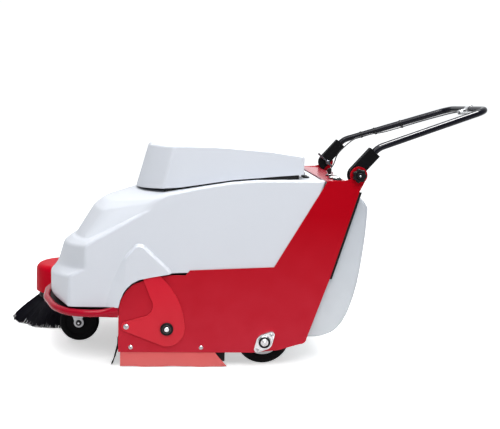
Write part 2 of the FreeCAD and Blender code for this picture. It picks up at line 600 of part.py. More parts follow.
bearing = spun_y([(brush_shaft_r + fit, -arm_out - 6), (23, -arm_out - 6), (23, -arm_out), (boss_r, -arm_out),
                  (boss_r, -arm_in), (brush_shaft_r + fit, -arm_in)], *brush_axis)
save("brush_bearing_left", bearing)
brush_motor = rod_y(*brush_axis, 48, arm_out, arm_out + 62).fuse(rod_y(*brush_axis, 34, arm_out + 62,
                                                                       arm_out + 74))
brush_motor = brush_motor.fuse(rod_y(*brush_axis, boss_r, arm_in, arm_out))
brush_motor = brush_motor.cut(rod_y(*brush_axis, brush_shaft_r + fit, arm_in - 1,
                                    arm_out + 36)).removeSplitter()
save("brush_motor", brush_motor)

brush_half = inner - 14.0
core = spun_y([(brush_shaft_r, -brush_half), (brush_core_r, -brush_half), (brush_core_r, brush_half),
               (brush_shaft_r, brush_half)], *brush_axis)
save("main_brush_core", core, rod_y(*brush_axis, brush_shaft_r, -arm_out - 9, arm_out + 35))
bristle_rows, row_t = 12, 12.0
rows = []
for k in range(bristle_rows):
    row = box(-row_t / 2, row_t / 2, -brush_half + 4, brush_half - 4, -brush_r, -brush_core_r + 2)
    row.rotate(V(0, 0, 0), V(0, 1, 0), 360.0 * k / bristle_rows)
    row.translate(V(brush_axis[0], 0, brush_axis[1]))
    rows.append(row.cut(rod_y(*brush_axis, brush_core_r, -brush_half, brush_half)))
save("main_brush_bristles", *rows)

# ---- skirts and flaps: rubber, just clear of the floor ----
skirt_top = plate_bottom + 38.0
skirt_line = [(-512, 3), (-131, 3), (-161, 37), (-170, 48), (-178, 60), (-178, skirt_top), (-512, skirt_top)]
skirt = prism_y(skirt_line, -inner, -inner + 3)
skirt = skirt.cut([rod_y(x, z, plate_bolt_r, -inner - 1, -inner + 5) for x, z in plate_bolts])
save("side_skirts", skirt, flip(skirt))
clamp = box(-505, -185, -inner + 3, -inner + 6, plate_bottom + 8, skirt_top - 5)
clamp = clamp.cut([rod_y(x, z, plate_bolt_r, -inner + 1, -inner + 8) for x, z in plate_bolts])
save("skirt_clamps", clamp, flip(clamp))
screws = []
for x, z in plate_bolts:
    screw = rod_y(x, z, plate_bolt_r, -half_width, -inner + 8).fuse(rod_y(x, z, 8, -half_width - 5,
                                                                          -half_width))
    screws += [screw.removeSplitter(), flip(screw.removeSplitter())]
save("frame_bolts", *screws, *flange_screws, pivot_bolt, flip(pivot_bolt), idler_pin)
flap_top, flap_bend = plate_bottom + 49, plate_bottom + 23
front_flap = prism_y([(plate_front - 4, flap_top), (plate_front - 0.2, flap_top),
                      (plate_front - 0.2, flap_bend),
                      (-535, 8), (-539, 8), (plate_front - 4, flap_bend)], -inner + 8, inner - 8)
rear_flap = prism_y([(-153, plate_bottom + 19), (-149.2, plate_bottom + 19), (-149.2, plate_bottom + 5),
                     (-141, 22),
                     (-145, 20), (-153, plate_bottom + 3)], -inner + 8, inner - 8)
save("floor_flaps", front_flap, rear_flap)

# ---- front castor ----
plate_low = deck_z - 5.0
castor_plate = box(castor_x - 45, castor_x + 45, -38, 38, plate_low, deck_z)
castor_plate = castor_plate.cut(rod_z(castor_x, 0, castor_pin_r + fit, plate_low - 1, deck_z + 1))
save("nose_deck", deck, castor_plate)
head_low, crown_t, leg_t = plate_low - 17.0, 6.0, 4.0
leg_y = castor_w / 2 + 1.0
fork = rod_z(castor_x, 0, 29, head_low, plate_low - gap)
fork = fork.fuse(rod_z(castor_x, 0, castor_pin_r, plate_low - 1, deck_z + 4))
fork = fork.fuse(box(castor_x - 26, castor_x + 42, -leg_y - leg_t, leg_y + leg_t, head_low - crown_t,
                     head_low))
leg_line = [(castor_x - 26, head_low), (castor_x + 42, head_low), (castor_wheel_x + 16, castor_r + 20),
            (castor_wheel_x - 14, castor_r + 8)]
for y0 in (-leg_y - leg_t, leg_y):
    leg = prism_y(leg_line, y0, y0 + leg_t).fuse(rod_y(castor_wheel_x, castor_r, 15, y0, y0 + leg_t))
    leg = leg.fuse(hull_y((castor_wheel_x, castor_r), 15, (castor_wheel_x - 6, castor_r + 30), 18, y0,
                          y0 + leg_t))
    fork = fork.fuse(leg)
castor_axle_r = 6.0
fork = fork.cut(rod_y(castor_wheel_x, castor_r, castor_axle_r, -60, 60)).removeSplitter()
castor_bolt = rod_y(castor_wheel_x, castor_r, castor_axle_r, -leg_y - leg_t - 4, leg_y + leg_t + 4)
for y0 in (-leg_y - leg_t - 6, leg_y + leg_t):
    castor_bolt = castor_bolt.fuse(rod_y(castor_wheel_x, castor_r, 10, y0, y0 + 6))
save("castor_fork", fork, castor_bolt.removeSplitter())
cw = castor_w / 2
castor_wheel = spun_y([(castor_axle_r + fit, -cw - 0.6), (18, -cw - 0.6), (18, -cw + 6), (50, -cw + 6),
                       (54, -cw + 2),
                       (66, -cw), (castor_r, -cw + 9), (castor_r, cw - 9), (66, cw), (54, cw - 2),
                       (50, cw - 6),
                       (18, cw - 6), (18, cw + 0.6), (castor_axle_r + fit, cw + 0.6)], castor_wheel_x,
                       castor_r)
save("castor_wheel", castor_wheel)

# ---- side brush on its swing arm ----
hx, hz = side_hinge
lap = half_width + 4.0
side_pin_r = 6.0
bracket = hull_y((hx, hz), 20, (plate_front + 6, hz - 10), 26, half_width, lap)
bracket = bracket.fuse(rod_y(hx, hz, side_pin_r, lap, lap + 18)).fuse(rod_y(hx, hz, 10, lap + 12, lap + 18))
save("side_brush_bracket", bracket.removeSplitter())
arm_y0, arm_y1 = lap + gap, lap + gap + 8.0
guard_wall, dome = 3.0, 24.0
guard_flat, guard_turn = 100.0, -37.7         # flat back: its distance from the axis and its direction


def guard_solid(t):
    r, top = guard_r - t, guard_top - t
    bend = dome - t
    profile = [V(side_x, side_y, guard_bottom), V(side_x + r, side_y, guard_bottom),
               V(side_x + r, side_y, top - bend), V(side_x + r - bend * 0.293, side_y, top - bend * 0.293),
               V(side_x + r - bend, side_y, top), V(side_x, side_y, top)]
    wire = Part.Wire([Part.makeLine(profile[0], profile[1]), Part.makeLine(profile[1], profile[2]),
                      Part.Arc(*profile[2:5]).toShape(), Part.makeLine(profile[4], profile[5]),
                      Part.makeLine(profile[5], profile[0])])
    body = Part.Face(wire).revolve(V(side_x, side_y, 0), V(0, 0, 1), 360)
    flat = Part.makeBox(200, 400, 300, V(side_x + guard_flat - t, side_y - 200, 0))
    flat.rotate(V(side_x, side_y, 0), V(0, 0, 1), guard_turn)
    return body.cut(flat)


guard = guard_solid(0).cut(guard_solid(guard_wall).fuse(rod_z(side_x, side_y, 90, guard_bottom - 1,
                                                              guard_bottom + 5)))
save("side_brush_guard", guard)
side_arm = hull_y((hx, hz), 17, (hx - 60, hz - 28), 14, arm_y0, arm_y1)
side_arm = side_arm.fuse(box(side_x + guard_flat - 10, hx - 60, arm_y0, arm_y1, hz - 42, hz - 14))
side_arm = side_arm.cut([rod_y(hx, hz, side_pin_r + fit, arm_y0 - 1, arm_y1 + 1), guard_solid(0)])
save("side_brush_arm", side_arm.removeSplitter())
spindle_r = 8.0
side_motor = rod_z(side_x, side_y, 42, 150, guard_top - guard_wall)
side_motor = side_motor.cut(rod_z(side_x, side_y, spindle_r + fit, 149, 185))
save("side_brush_motor", side_motor)
block_r = guard_r - 12.0
block = spun_z([(spindle_r, 78), (block_r - 4, 78), (block_r, 84), (block_r, 100), (40, 104), (34, 122),
                (spindle_r, 122)], side_x, side_y)
save("side_brush_block", block, rod_z(side_x, side_y, spindle_r, 72, 184))
save("side_brush_bristles", spun_z([(block_r - 30, 78), (block_r - 6, 78), (side_reach - 8, 28),
                                    (side_reach, floor_gap), (side_reach - 34, floor_gap)], side_x, side_y))

# ---- control panel between the lugs ----
panel_rear = 272.0
panel = box(196, panel_rear, -between, between, panel_z - 2.5, panel_z)
panel = panel.fuse(box(panel_rear - 2.5, panel_rear, -between, between, panel_z - 34,
                       panel_z)).removeSplitter()
socket_y, gauge_y = 48.0 - half_width, 95.0 - half_width
toggle_y, key_y = 145.0 - half_width, 198.0 - half_width
control_x = 246.0
cable_y = half_width - 54.0
cable_r = 2.5
grommet_z = panel_z - 20.0
panel = panel.cut([rod_z(control_x, key_y, 9, 600, 720), rod_z(control_x, toggle_y, 6, 600, 720),
                   rod_z(control_x, gauge_y, 19, 600, 720), rod_z(control_x, socket_y, 12, 600, 720),
                   rod_x(cable_y, grommet_z, 6, 200, 300)])
save("control_panel", panel)
key_barrel = rod_z(control_x, key_y, 8.9, panel_z - 30, panel_z).fuse(rod_z(control_x, key_y, 13, panel_z,
                                                                            panel_z + 5))
key_barrel = key_barrel.cut(rod_z(control_x, key_y, 5 + fit, panel_z - 12, panel_z + 6)).removeSplitter()
key = rod_z(control_x, key_y, 5, panel_z - 11, panel_z + 9)
key = key.fuse(box(control_x - 14, control_x + 14, key_y - 2.5, key_y + 2.5, panel_z + 9, panel_z + 34))
save("key", key.removeSplitter())
toggle_base = rod_z(control_x, toggle_y, 5.9, panel_z - 26, panel_z)
toggle_base = toggle_base.fuse(rod_z(control_x, toggle_y, 9, panel_z, panel_z + 6))
toggle_slot = box(control_x - 7, control_x + 7, toggle_y - 3.3, toggle_y + 3.3, panel_z - 8, panel_z + 7)
save("switch_bodies", key_barrel, toggle_base.cut(toggle_slot).removeSplitter())
toggle_z = panel_z - 2.0
lever = Part.makeCone(2.6, 4.0, 26, V(control_x, toggle_y, toggle_z))
save("toggle_lever", lever.fuse(Part.makeSphere(2.9, V(control_x, toggle_y, toggle_z))).removeSplitter())
gauge = rod_z(control_x, gauge_y, 18.9, panel_z - 18, panel_z).fuse(rod_z(control_x, gauge_y, 23, panel_z,
                                                                          panel_z + 6))
save("battery_gauge", gauge.removeSplitter())
socket_r, socket_depth = 8.0, 15.0
socket = rod_z(control_x, socket_y, 11.9, panel_z - 20, panel_z)
socket = socket.fuse(rod_z(control_x, socket_y, 16, panel_z, panel_z + 4))
socket = socket.cut(rod_z(control_x, socket_y, socket_r, panel_z + 4 - socket_depth, panel_z + 5))
save("charger_socket", socket.removeSplitter())
grommet = rod_x(cable_y, grommet_z, 5.9, panel_rear - 2.5, panel_rear).fuse(
    rod_x(cable_y, grommet_z, 8, panel_rear, panel_rear + 3))
grommet = grommet.cut(rod_x(cable_y, grommet_z, cable_r + fit, 200, 300)).removeSplitter()
save("dust_seals", lid_seal, flip(lid_seal), mouth_seal, grommet)

# ---- handle: box brackets on the lugs, one bent tube, star knobs and tee bolts ----
tilt = math.radians(bracket_angle)
up_along = V(math.cos(tilt), 0, math.sin(tilt))
up_across = V(-math.sin(tilt), 0, math.cos(tilt))
lug = V(lug_x, 0, lug_z)
below = 9.5                                # bracket's lower edge below the pivot's line


def at_bracket(s, n, y=0.0):
    p = lug + up_along * s + up_across * n
    return V(p.x, y, p.z)


def bracket_block(n0, n1, y0, y1, s1):
    corners = [at_bracket(s, n, y0) for s, n in ((-bracket_w, n0), (s1, n0), (s1, n1), (-bracket_w, n1))]
    block = Part.Face(Part.makePolygon(corners + corners[:1])).extrude(V(0, y1 - y0, 0))
    ahead = [at_bracket(s, n, y0) for s, n in ((0, -80), (s1 + 1, -80), (s1 + 1, 80), (0, 80))]
    keep = Part.Face(Part.makePolygon(ahead + ahead[:1])).extrude(V(0, y1 - y0, 0))
    return block.common(keep.fuse(rod_y(lug_x, lug_z, bracket_w - below, y0, y1)))


n_low, n_high = -below, bracket_w - below
y_in, y_out = half_width - plate_t - gap - bracket_d, half_width - plate_t - gap
bracket = bracket_block(n_low, n_high, -y_out, -y_in, bracket_len)
hollow = bracket_block(n_low + bracket_wall, n_high - bracket_wall, -y_out + bracket_wall,
                       -y_in - bracket_wall,
                       bracket_len + 1)
bracket = bracket.cut([hollow, rod_y(lug_x, lug_z, bolt_r + fit, -y_out - 1, -y_in + 1)])
save("handle_brackets", bracket, flip(bracket))

n_mid = (n_low + n_high) / 2
tube_start = at_bracket(bracket_len - 60, n_mid, -tube_y)
slope = math.radians(loop_slope)
knee = at_bracket(bracket_len + tube_rise, n_mid, -tube_y)
crossbar_z = knee.z + (crossbar_x - knee.x) * math.tan(slope)
corner = V(crossbar_x, -crossbar_half, crossbar_z)
route = [tube_start, knee, corner]
route += [V(p.x, -p.y, p.z) for p in reversed(route)]
handle_tube = tube_along(rounded(route, [70, 58, 58, 70]), tube_r, route[0], route[1])
tube_bore = tube_along(rounded(route, [70, 58, 58, 70]), tube_r - 2, route[0], route[1])
save("handle_tube", handle_tube.cut(tube_bore))

tee = V(-0.5, 0, 0.87).normalize()
tee_y = -y_in + 8
bolt = rod_y(lug_x, lug_z, bolt_r, -half_width - 14, -y_in + 4)
bolt = bolt.fuse(rod_y(lug_x, lug_z, 9, -y_in, -y_in + 13))
bar_start = V(lug_x, tee_y, lug_z) - tee * 45
bolt = bolt.fuse(Part.makeCylinder(4, 90, bar_start, tee)).removeSplitter()
save("tee_bolts", bolt, flip(bolt))
knob = rod_y(lug_x, lug_z, 20, -half_width - 20, -half_width - gap)
for k in range(7):
    a = 2 * math.pi * k / 7
    knob = knob.fuse(rod_y(lug_x + 18.5 * math.cos(a), lug_z + 18.5 * math.sin(a), 6.5, -half_width - 20,
                           -half_width - gap))
knob = knob.fuse(rod_y(lug_x, lug_z, 11, -half_width - 24, -half_width - 20)).removeSplitter()
knob = knob.cut(rod_y(lug_x, lug_z, bolt_r + fit, -half_width - 15, -half_width))
save("star_knob_left", knob)
save("star_knob_right", flip(knob))

# ---- hand lever on the crossbar, its cable and clips ----
back = V(math.cos(slope), 0, math.sin(slope))
lift_dir = V(-math.sin(slope), 0, math.cos(slope))
bar_middle = V(crossbar_x, 0, crossbar_z)


def on_loop(ahead, y, h=0.0):
    """A point by its distance ahead of the crossbar, its Y and its height off the loop's plane."""
    p = bar_middle - back * ahead + lift_dir * h
    return V(p.x, y, p.z)


def loop_block(corners, h0, h1):
    """A plate in the loop's plane, from height h0 to h1."""
    points = [on_loop(a, y, h0) for a, y in corners]
    return Part.Face(Part.makePolygon(points + points[:1])).extrude(lift_dir * (h1 - h0))


lever_y, lever_a = -18.0, 32.0           # the lever's clamp is at the middle of the crossbar
cable_a, cable_end = 36.0, lever_y + 16


def by_lever(corners):
    """Corners by distance ahead of the crossbar and distance beside the lever's clamp."""
    return [(a, lever_y + beside) for a, beside in corners]


clamp_body = Part.makeCylinder(tube_r + 4, 28, on_loop(0, lever_y - 14), V(0, 1, 0))
clamp_body = clamp_body.fuse(loop_block(by_lever([(8, -14), (44, -14), (44, 14), (8, 14)]), -8, 8))
clamp_body = clamp_body.cut(Part.makeCylinder(tube_r, 40, on_loop(0, lever_y - 20), V(0, 1, 0)))
clamp_body = clamp_body.cut(loop_block(by_lever([(20, -22), (50, -22), (50, 8.5), (20, 8.5)]), -5.3, 5.3))
clamp_body = clamp_body.fuse(Part.makeCylinder(5, 14, on_loop(cable_a, lever_y + 13), V(0, 1, 0)))
clamp_body = clamp_body.cut(Part.makeCylinder(cable_r + fit, 40, on_loop(cable_a, lever_y + 4), V(0, 1, 0)))
pin_low = on_loop(lever_a, lever_y - 2, -9)
clamp_body = clamp_body.cut(Part.makeCylinder(3, 20, pin_low, lift_dir)).removeSplitter()
save("lever_clamp", clamp_body, Part.makeCylinder(3, 18, pin_low, lift_dir))
blade = loop_block(by_lever([(26, 5), (38, 5), (46, -20), (52, -52), (50, -132), (58, -138), (58, -148),
                             (46, -146), (42, -132), (44, -52), (38, -28), (26, -12)]), -5, 5)
blade = blade.cut(Part.makeCylinder(3 + fit, 20, pin_low, lift_dir))
save("hand_lever", blade)

cable_in = tube_r + cable_r + 2.0


def arm_point(ahead, inwards, h=0.0):
    """A point beside the right-hand arm of the tube."""
    span = (crossbar_x - knee.x) / math.cos(slope)
    y = crossbar_half + (tube_y - crossbar_half) * ahead / span
    return on_loop(ahead, y - inwards, h)


cable_x = idler_y + 2.0                   # the cable runs level with the idler's arm
cable_points = [on_loop(cable_a, cable_end), on_loop(cable_a, cable_end + 22),
                on_loop(cable_a + 12, cable_end + 77, -3), on_loop(cable_a + 52, cable_end + 142, -8),
                arm_point(150, cable_in + 6, -13), arm_point(205, cable_in, -15), arm_point(290, cable_in, -15),
                arm_point(345, cable_in, -6), arm_point(405, cable_in + 2, -5), V(384, cable_y, 782),
                V(348, cable_y, 742), V(337, cable_y, 700), V(318, cable_y, 671),
                V(286, cable_y, grommet_z), V(256, cable_y, grommet_z), V(215, cable_y + 14, 649),
                V(193, cable_x - 8, 600), V(179, cable_x, 545), V(168, cable_x, 488), V(154, cable_x, 434),
                V(143, cable_x, 380), V(132, cable_x, 328), V(98, cable_x, 292), V(45, cable_x, 283),
                V(-10, cable_x, 283), V(idler_pivot[0] + 14.5, cable_x, idler_pivot[1] - 27)]
radii = bend_radii(cable_points)
print("cable bend radii:", [round(r) for r in radii])
cable = tube_along(rounded(cable_points, radii), cable_r, cable_points[0], cable_points[1])
save("drive_cable", cable)

clips = []
arm_dir = (arm_point(0, 0) - arm_point(100, 0)).normalize()
for ahead in (208, 318, 375):
    centre = arm_point(ahead, 0) - arm_dir * 4
    band = Part.makeCylinder(tube_r + 1.6, 8, centre, arm_dir)
    share = min(1.0, max(0.0, (ahead - 290) / 55))
    eye = arm_point(ahead, cable_in + 0.5 * max(0.0, (ahead - 345) / 15), -15 + 9 * share)
    band = band.fuse(Part.makeCylinder(cable_r + 2.2, 8, eye - arm_dir * 4, arm_dir))
    bridge_from = arm_point(ahead, tube_r + 1, -3)
    band = band.fuse(Part.makeCylinder(2.0, (eye - bridge_from).Length, bridge_from,
                                       (eye - bridge_from).normalize()))
    clips.append(band.cut([cable, handle_tube, Part.makeCylinder(tube_r, 30, centre - arm_dir * 10,
                                                                 arm_dir)]))
save("cable_clips", *clips)
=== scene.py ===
import math

import bmesh
import bpy
from mathutils import Matrix, Vector


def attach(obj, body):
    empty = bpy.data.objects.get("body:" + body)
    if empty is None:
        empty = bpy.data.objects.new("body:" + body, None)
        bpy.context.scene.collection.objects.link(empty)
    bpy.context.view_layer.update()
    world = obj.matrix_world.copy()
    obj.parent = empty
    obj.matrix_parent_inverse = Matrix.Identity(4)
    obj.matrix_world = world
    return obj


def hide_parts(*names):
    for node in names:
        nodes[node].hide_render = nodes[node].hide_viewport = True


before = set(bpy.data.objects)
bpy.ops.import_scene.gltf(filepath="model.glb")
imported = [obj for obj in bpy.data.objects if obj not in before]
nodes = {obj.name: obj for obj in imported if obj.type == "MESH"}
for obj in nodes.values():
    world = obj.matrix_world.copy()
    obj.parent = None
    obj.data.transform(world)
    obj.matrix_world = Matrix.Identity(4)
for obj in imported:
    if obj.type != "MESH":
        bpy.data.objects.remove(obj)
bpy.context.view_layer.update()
mm = 0.001

# ---- camera: as high as the handle, square to the machine's left side and turned a little to the rear ----
# It looks down a little, and it isn't quite level.
eye, focal_length = (-0.2915, -2.8135, 0.9381), 52.38
yaw, pitch, roll = math.radians(5.13), math.radians(8.56), math.radians(1.98)
ahead = Vector((math.sin(yaw) * math.cos(pitch), math.cos(yaw) * math.cos(pitch), -math.sin(pitch)))
level = Vector((math.cos(yaw), -math.sin(yaw), 0.0))
upright = level.cross(ahead)
right = level * math.cos(roll) + upright * math.sin(roll)
upward = upright * math.cos(roll) - level * math.sin(roll)


def set_out(name, data):
    """A new object in the scene."""
    made = bpy.data.objects.new(name, data)
    bpy.context.scene.collection.objects.link(made)
    return made


lens = bpy.data.cameras.new("camera")
lens.lens, lens.sensor_width = focal_length, 36.0
camera = set_out("camera", lens)
camera.matrix_world = Matrix.Translation(eye) @ Matrix([(right[k], upward[k], -ahead[k]) for k in range(3)]).to_4x4()
bpy.context.scene.camera = camera

# ---- studio: a pale matt floor in a bright even room, with a large soft light overhead and one in front ----
# A third, narrow light over the handle shows only as a bright line on glossy paint.


def node(tree, kind, inputs=(), **settings):
    """Adds a node: settings first, then each input as a value or a link."""
    new = tree.nodes.new(kind)
    for setting, value in settings.items():
        setattr(new, setting, value)
    for key, value in dict(inputs).items():
        if isinstance(value, bpy.types.NodeSocket):
            tree.links.new(value, new.inputs[key])
        else:
            new.inputs[key].default_value = value
    return new


def sums(tree, how, a, b=0.0):
    """Arithmetic on one or two values."""
    return node(tree, "ShaderNodeMath", {0: a, 1: b}, operation=how).outputs[0]


def ramp(tree, value, start, end):
    """A value moved from the range start to the range end."""
    return node(tree, "ShaderNodeMapRange", dict(zip(("Value", 1, 2, 3, 4), (value, *start, *end)))).outputs[0]


def mixed(tree, mask, under, over):
    """One colour over another, where the mask is high."""
    return node(tree, "ShaderNodeMix", {0: mask, 6: under, 7: over}, data_type="RGBA").outputs[2]


def apart(tree, vector):
    """A vector's X, Y and Z."""
    return node(tree, "ShaderNodeSeparateXYZ", {0: vector}).outputs


floor_half = 40
floor_mesh = bpy.data.meshes.new("floor")
floor_mesh.from_pydata([(x * floor_half, y * floor_half, 0) for x, y in ((-1, -1), (1, -1), (1, 1), (-1, 1))],
                       [], [(0, 1, 2, 3)])
floor = set_out("floor", floor_mesh)
paper = bpy.data.materials.new("floor_paper")
paper.use_nodes = True
paper_tree, paper_skin = paper.node_tree, paper.node_tree.nodes["Principled BSDF"]
looked_at = node(paper_tree, "ShaderNodeLightPath").outputs["Is Camera Ray"]
for socket, bounced, shown in (("Base Color", 0.68, 0.93), ("Emission Color", 0.08, 0.52)):
    grey = mixed(paper_tree, looked_at, (bounced, bounced, bounced, 1), (shown, shown, shown, 1))
    paper_tree.links.new(grey, paper_skin.inputs[socket])
for socket, value in (("Roughness", 1.0), ("Specular IOR Level", 0.0), ("Emission Strength", 1.0)):
    paper_skin.inputs[socket].default_value = value
floor_mesh.materials.append(paper)

room = bpy.data.worlds.new("room")
bpy.context.scene.world = room
room.use_nodes = True
sky = room.node_tree
toward = apart(sky, node(sky, "ShaderNodeTexCoord").outputs["Generated"])
from_above = ramp(sky, toward["Z"], (0.0, 0.8), (0.45, 0.85))
from_behind = ramp(sky, toward["Y"], (-0.8, 0.8), (0.5, 1.5))
from_ends = ramp(sky, sums(sky, "ABSOLUTE", toward["X"]), (0.15, 0.95), (1.05, 0.72))
glow = sums(sky, "MULTIPLY", sums(sky, "MULTIPLY", from_above, from_behind), from_ends)
backdrop = 1.06
straight = node(sky, "ShaderNodeLightPath").outputs["Is Camera Ray"]
strength = node(sky, "ShaderNodeMix", {0: straight, 2: glow, 3: backdrop}).outputs[0]
sky.links.new(strength, sky.nodes["Background"].inputs["Strength"])
sky.nodes["Background"].inputs["Color"].default_value = (0.96, 0.98, 1.0, 1)


def softbox(name, place, target, length, width, power):
    """A soft light, long along X, that faces a target."""
    light = bpy.data.lights.new(name, "AREA")
    light.shape, light.size, light.size_y, light.energy = "RECTANGLE", length, width, power
    lamp = set_out(name, light)
    lamp.location = place
    lamp.rotation_euler = (Vector(target) - Vector(place)).to_track_quat("-Z", "Y").to_euler()
    return lamp


softbox("overhead", (0.2, -0.4, 3.4), (0.0, 0.0, 0.4), length=3.6, width=0.6, power=86.0)
softbox("front", (0.1, -2.3, 2.7), (-0.1, 0.0, 0.4), length=3.0, width=1.4, power=54.0)
shine = softbox("shine", (0.8, -0.75, 3.1), (0.55, 0.0, 0.85), length=1.6, width=0.75, power=250.0)
shine.visible_diffuse = False
bpy.context.scene.view_settings.view_transform = "Standard"

# ---- side plates: 3 mm sheet steel, cut to shape and powder coated red, with a paler pink painted low down for light thrown up from the floor ----
# Each is its packed sheet with its doubles merged and every edge rounded.


def made_of(name, colour, shade, patch=6.0, rough=(0.4, 0.5), grain=(420.0, 0.05), **shader):
    """A finish in two close colours, in soft patches, with a fine grain, and gloss that varies with the patches."""
    material = bpy.data.materials.new(name)
    material.use_nodes = True
    tree, fine, depth = material.node_tree, *grain
    skin = tree.nodes["Principled BSDF"].inputs
    where = node(tree, "ShaderNodeTexCoord").outputs["Object"]
    patches, speckle = (
        node(tree, "ShaderNodeTexNoise", {"Vector": where, "Scale": scale, "Detail": detail}).outputs["Fac"]
        for scale, detail in ((patch, 5.0), (fine, 3.0)))
    bumps = node(tree, "ShaderNodeBump", {"Strength": depth, "Distance": mm, "Height": speckle}).outputs["Normal"]
    tree.links.new(mixed(tree, patches, (*colour, 1), (*shade, 1)), skin["Base Color"])
    tree.links.new(ramp(tree, patches, (0.0, 1.0), rough), skin["Roughness"])
    tree.links.new(bumps, skin["Normal"])
    for socket, value in shader.items():
        skin[socket.replace("_", " ")].default_value = value
    return material


def colour_over(material, mask, colour):
    """Lays another colour over a finish where the mask is high."""
    tree = material.node_tree
    skin = tree.nodes["Principled BSDF"].inputs["Base Color"]
    tree.links.new(mixed(tree, mask, skin.links[0].from_socket, (*colour, 1)), skin)


def dust_and_painted_floor_light(material, low, high, amount, colour=(0.62, 0.42, 0.40)):
    """Floor dust on most finishes, and painted light from the floor on the red paint and the hopper: a paler colour,
    strongest at height low, gone at height high, and patchy between.
    """
    tree = material.node_tree
    where = node(tree, "ShaderNodeTexCoord").outputs["Object"]
    cloud = node(tree, "ShaderNodeTexNoise", {"Vector": where, "Scale": 14.0, "Detail": 6.0}).outputs["Fac"]
    fade = ramp(tree, apart(tree, where)["Z"], (high, low), (0.0, 2 * amount))
    colour_over(material, sums(tree, "MULTIPLY", fade, ramp(tree, cloud, (0.0, 1.0), (0.34, 0.66))), colour)


def painted_edge_light(material, colour):
    """Painted light along the edges, found where the rounded and the true surface differ: a lighter colour paints a
    highlight there, a darker one paints shade.
    """
    tree = material.node_tree
    soft = node(tree, "ShaderNodeBevel", {"Radius": 1.2 * mm}, samples=4).outputs["Normal"]
    true = node(tree, "ShaderNodeNewGeometry").outputs["Normal"]
    facing = node(tree, "ShaderNodeVectorMath", {0: soft, 1: true}, operation="DOT_PRODUCT").outputs["Value"]
    colour_over(material, ramp(tree, facing, (0.995, 0.85), (0.0, 0.55)), colour)


def shaded(piece, angle=32.0):
    """Smooth across rounds and flat across faces."""
    shape = bmesh.new()
    shape.from_mesh(piece.data)
    for face in shape.faces:
        face.smooth = True
    for edge in shape.edges:
        edge.smooth = len(edge.link_faces) == 2 and edge.calc_face_angle(0.0) < math.radians(angle)
    shape.to_mesh(piece.data)
    shape.free()
    return piece


def settled(piece):
    """The piece with its modifiers worked into a plain mesh."""
    plain = bpy.data.meshes.new_from_object(piece.evaluated_get(bpy.context.evaluated_depsgraph_get()))
    piece.modifiers.clear()
    piece.data = plain
    return piece


def eased(piece, radius, angle=30.0):
    """Rounds every sharp edge by radius, in mm, and keeps the flats flat."""
    round_ = piece.modifiers.new("edge_round", "BEVEL")
    round_.width, round_.segments, round_.limit_method = radius * mm, 2, "ANGLE"
    round_.angle_limit, round_.use_clamp_overlap, round_.harden_normals = math.radians(angle), True, False
    piece.modifiers.new("flats", "WEIGHTED_NORMAL").keep_sharp = True
    return settled(piece)


def made_piece(name, shape):
    """A new piece from finished mesh work."""
    mesh = bpy.data.meshes.new(name)
    shape.to_mesh(mesh)
    shape.free()
    return set_out(name, mesh)


def copied(name, node_name):
    """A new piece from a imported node, with doubles merged and flat faces joined."""
    shape = bmesh.new()
    shape.from_mesh(nodes[node_name].data)
    bmesh.ops.remove_doubles(shape, verts=shape.verts, dist=0.02 * mm)
    bmesh.ops.dissolve_limit(shape, angle_limit=math.radians(0.8), verts=shape.verts, edges=shape.edges)
    return shaded(made_piece(name, shape))


def fitted(piece, material, body, slot, *stands_for):
    """Gives a piece its finish and its body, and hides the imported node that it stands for."""
    piece.data.materials.append(material)
    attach(piece, body)
    if stands_for:
        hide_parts(*stands_for)


def carried(node_name, radius, material, body, slot, name=""):
    """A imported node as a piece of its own, with its sharp edges rounded."""
    fitted(eased(copied(name or node_name + "_piece", node_name), radius), material, body, slot, node_name)


red_paint = made_of("red_paint", (0.39, 0.0006, 0.0070), (0.38, 0.0006, 0.0066), 5.0, (0.40, 0.46), (900.0, 0.03),
                    Specular_IOR_Level=0.03)
# painted light: the plates turn a paler pink low down for the light the white floor throws up on them
dust_and_painted_floor_light(red_paint, 0.0, 0.56, 0.24, (0.86, 0.10, 0.155))
# painted highlight: a lighter pink along the plates' edges, where light catches them
painted_edge_light(red_paint, (0.62, 0.10, 0.11))
for side in ("left", "right"):
    carried("side_plate_" + side, 0.7, red_paint, "chassis", "red_paint", "plate_" + side)

# ---- hood: one rotomoulded polyethylene shell, 5 mm thick, with a two-step nose and an arch boss each side ----
# The nose steps and the shoulder behind them run round onto the sides. The arches clear the brush arms.
hood_half, hood_wall, hood_rear, hood_low, bulge = 306.5, 5.0, 110.0, 213.0, 1.6
hood_side = [(-687, 220), (-687, 322), (-681, 331), (-631, 355), (-631, 434), (-615, 447), (-408, 570),
             (-398, 592), (-384, 604), (-352, 620), (-221, 650), (-133, 666), (-44, 675), (193, 681)]
hood_middle = [(-803, 213), (-803, 290), (-791, 302), (-777, 322), (-752, 405), (-722, 428), (-709, 432),
               (-640, 545), (-606, 573), (-492, 614), (-221, 648), (-133, 662), (-44, 672), (193, 684)]
shoulder_corner = {6: (-634, 449, 58), 7: (-585, 549, 108), 8: (-548, 580, 122)}   # x, z and how far inside


def between(a, b, share):
    """The point at that share of the way from a to b."""
    return tuple(p * (1 - share) + q * share for p, q in zip(a, b))


def hood_section(y):
    """Side view of the hood, cut at y."""
    share = min(1.0, abs(y) / hood_half) ** bulge
    inside = hood_half - min(hood_half, abs(y))
    line = []
    for k, (start, end) in enumerate(zip(hood_middle, hood_side)):
        part = share
        if k in shoulder_corner:
            corner, shoulder = shoulder_corner[k][:2], shoulder_corner[k][2]
            if inside < shoulder:
                start, part = corner, 1 - inside / shoulder
            else:
                end, part = corner, (abs(y) / (hood_half - shoulder)) ** bulge
        line.append(between(start, end, part))
    return line + [(hood_rear, 345.0), (hood_rear, 150.0)]


def averaged(section, y, reach):
    """The section blended over a little way to each side, which rounds its corners in plan."""
    lines = [section(y + reach * k / 3) for k in range(-3, 4)]
    return [(sum(p[0] for p in column) / 7, sum(p[1] for p in column) / 7) for column in zip(*lines)]


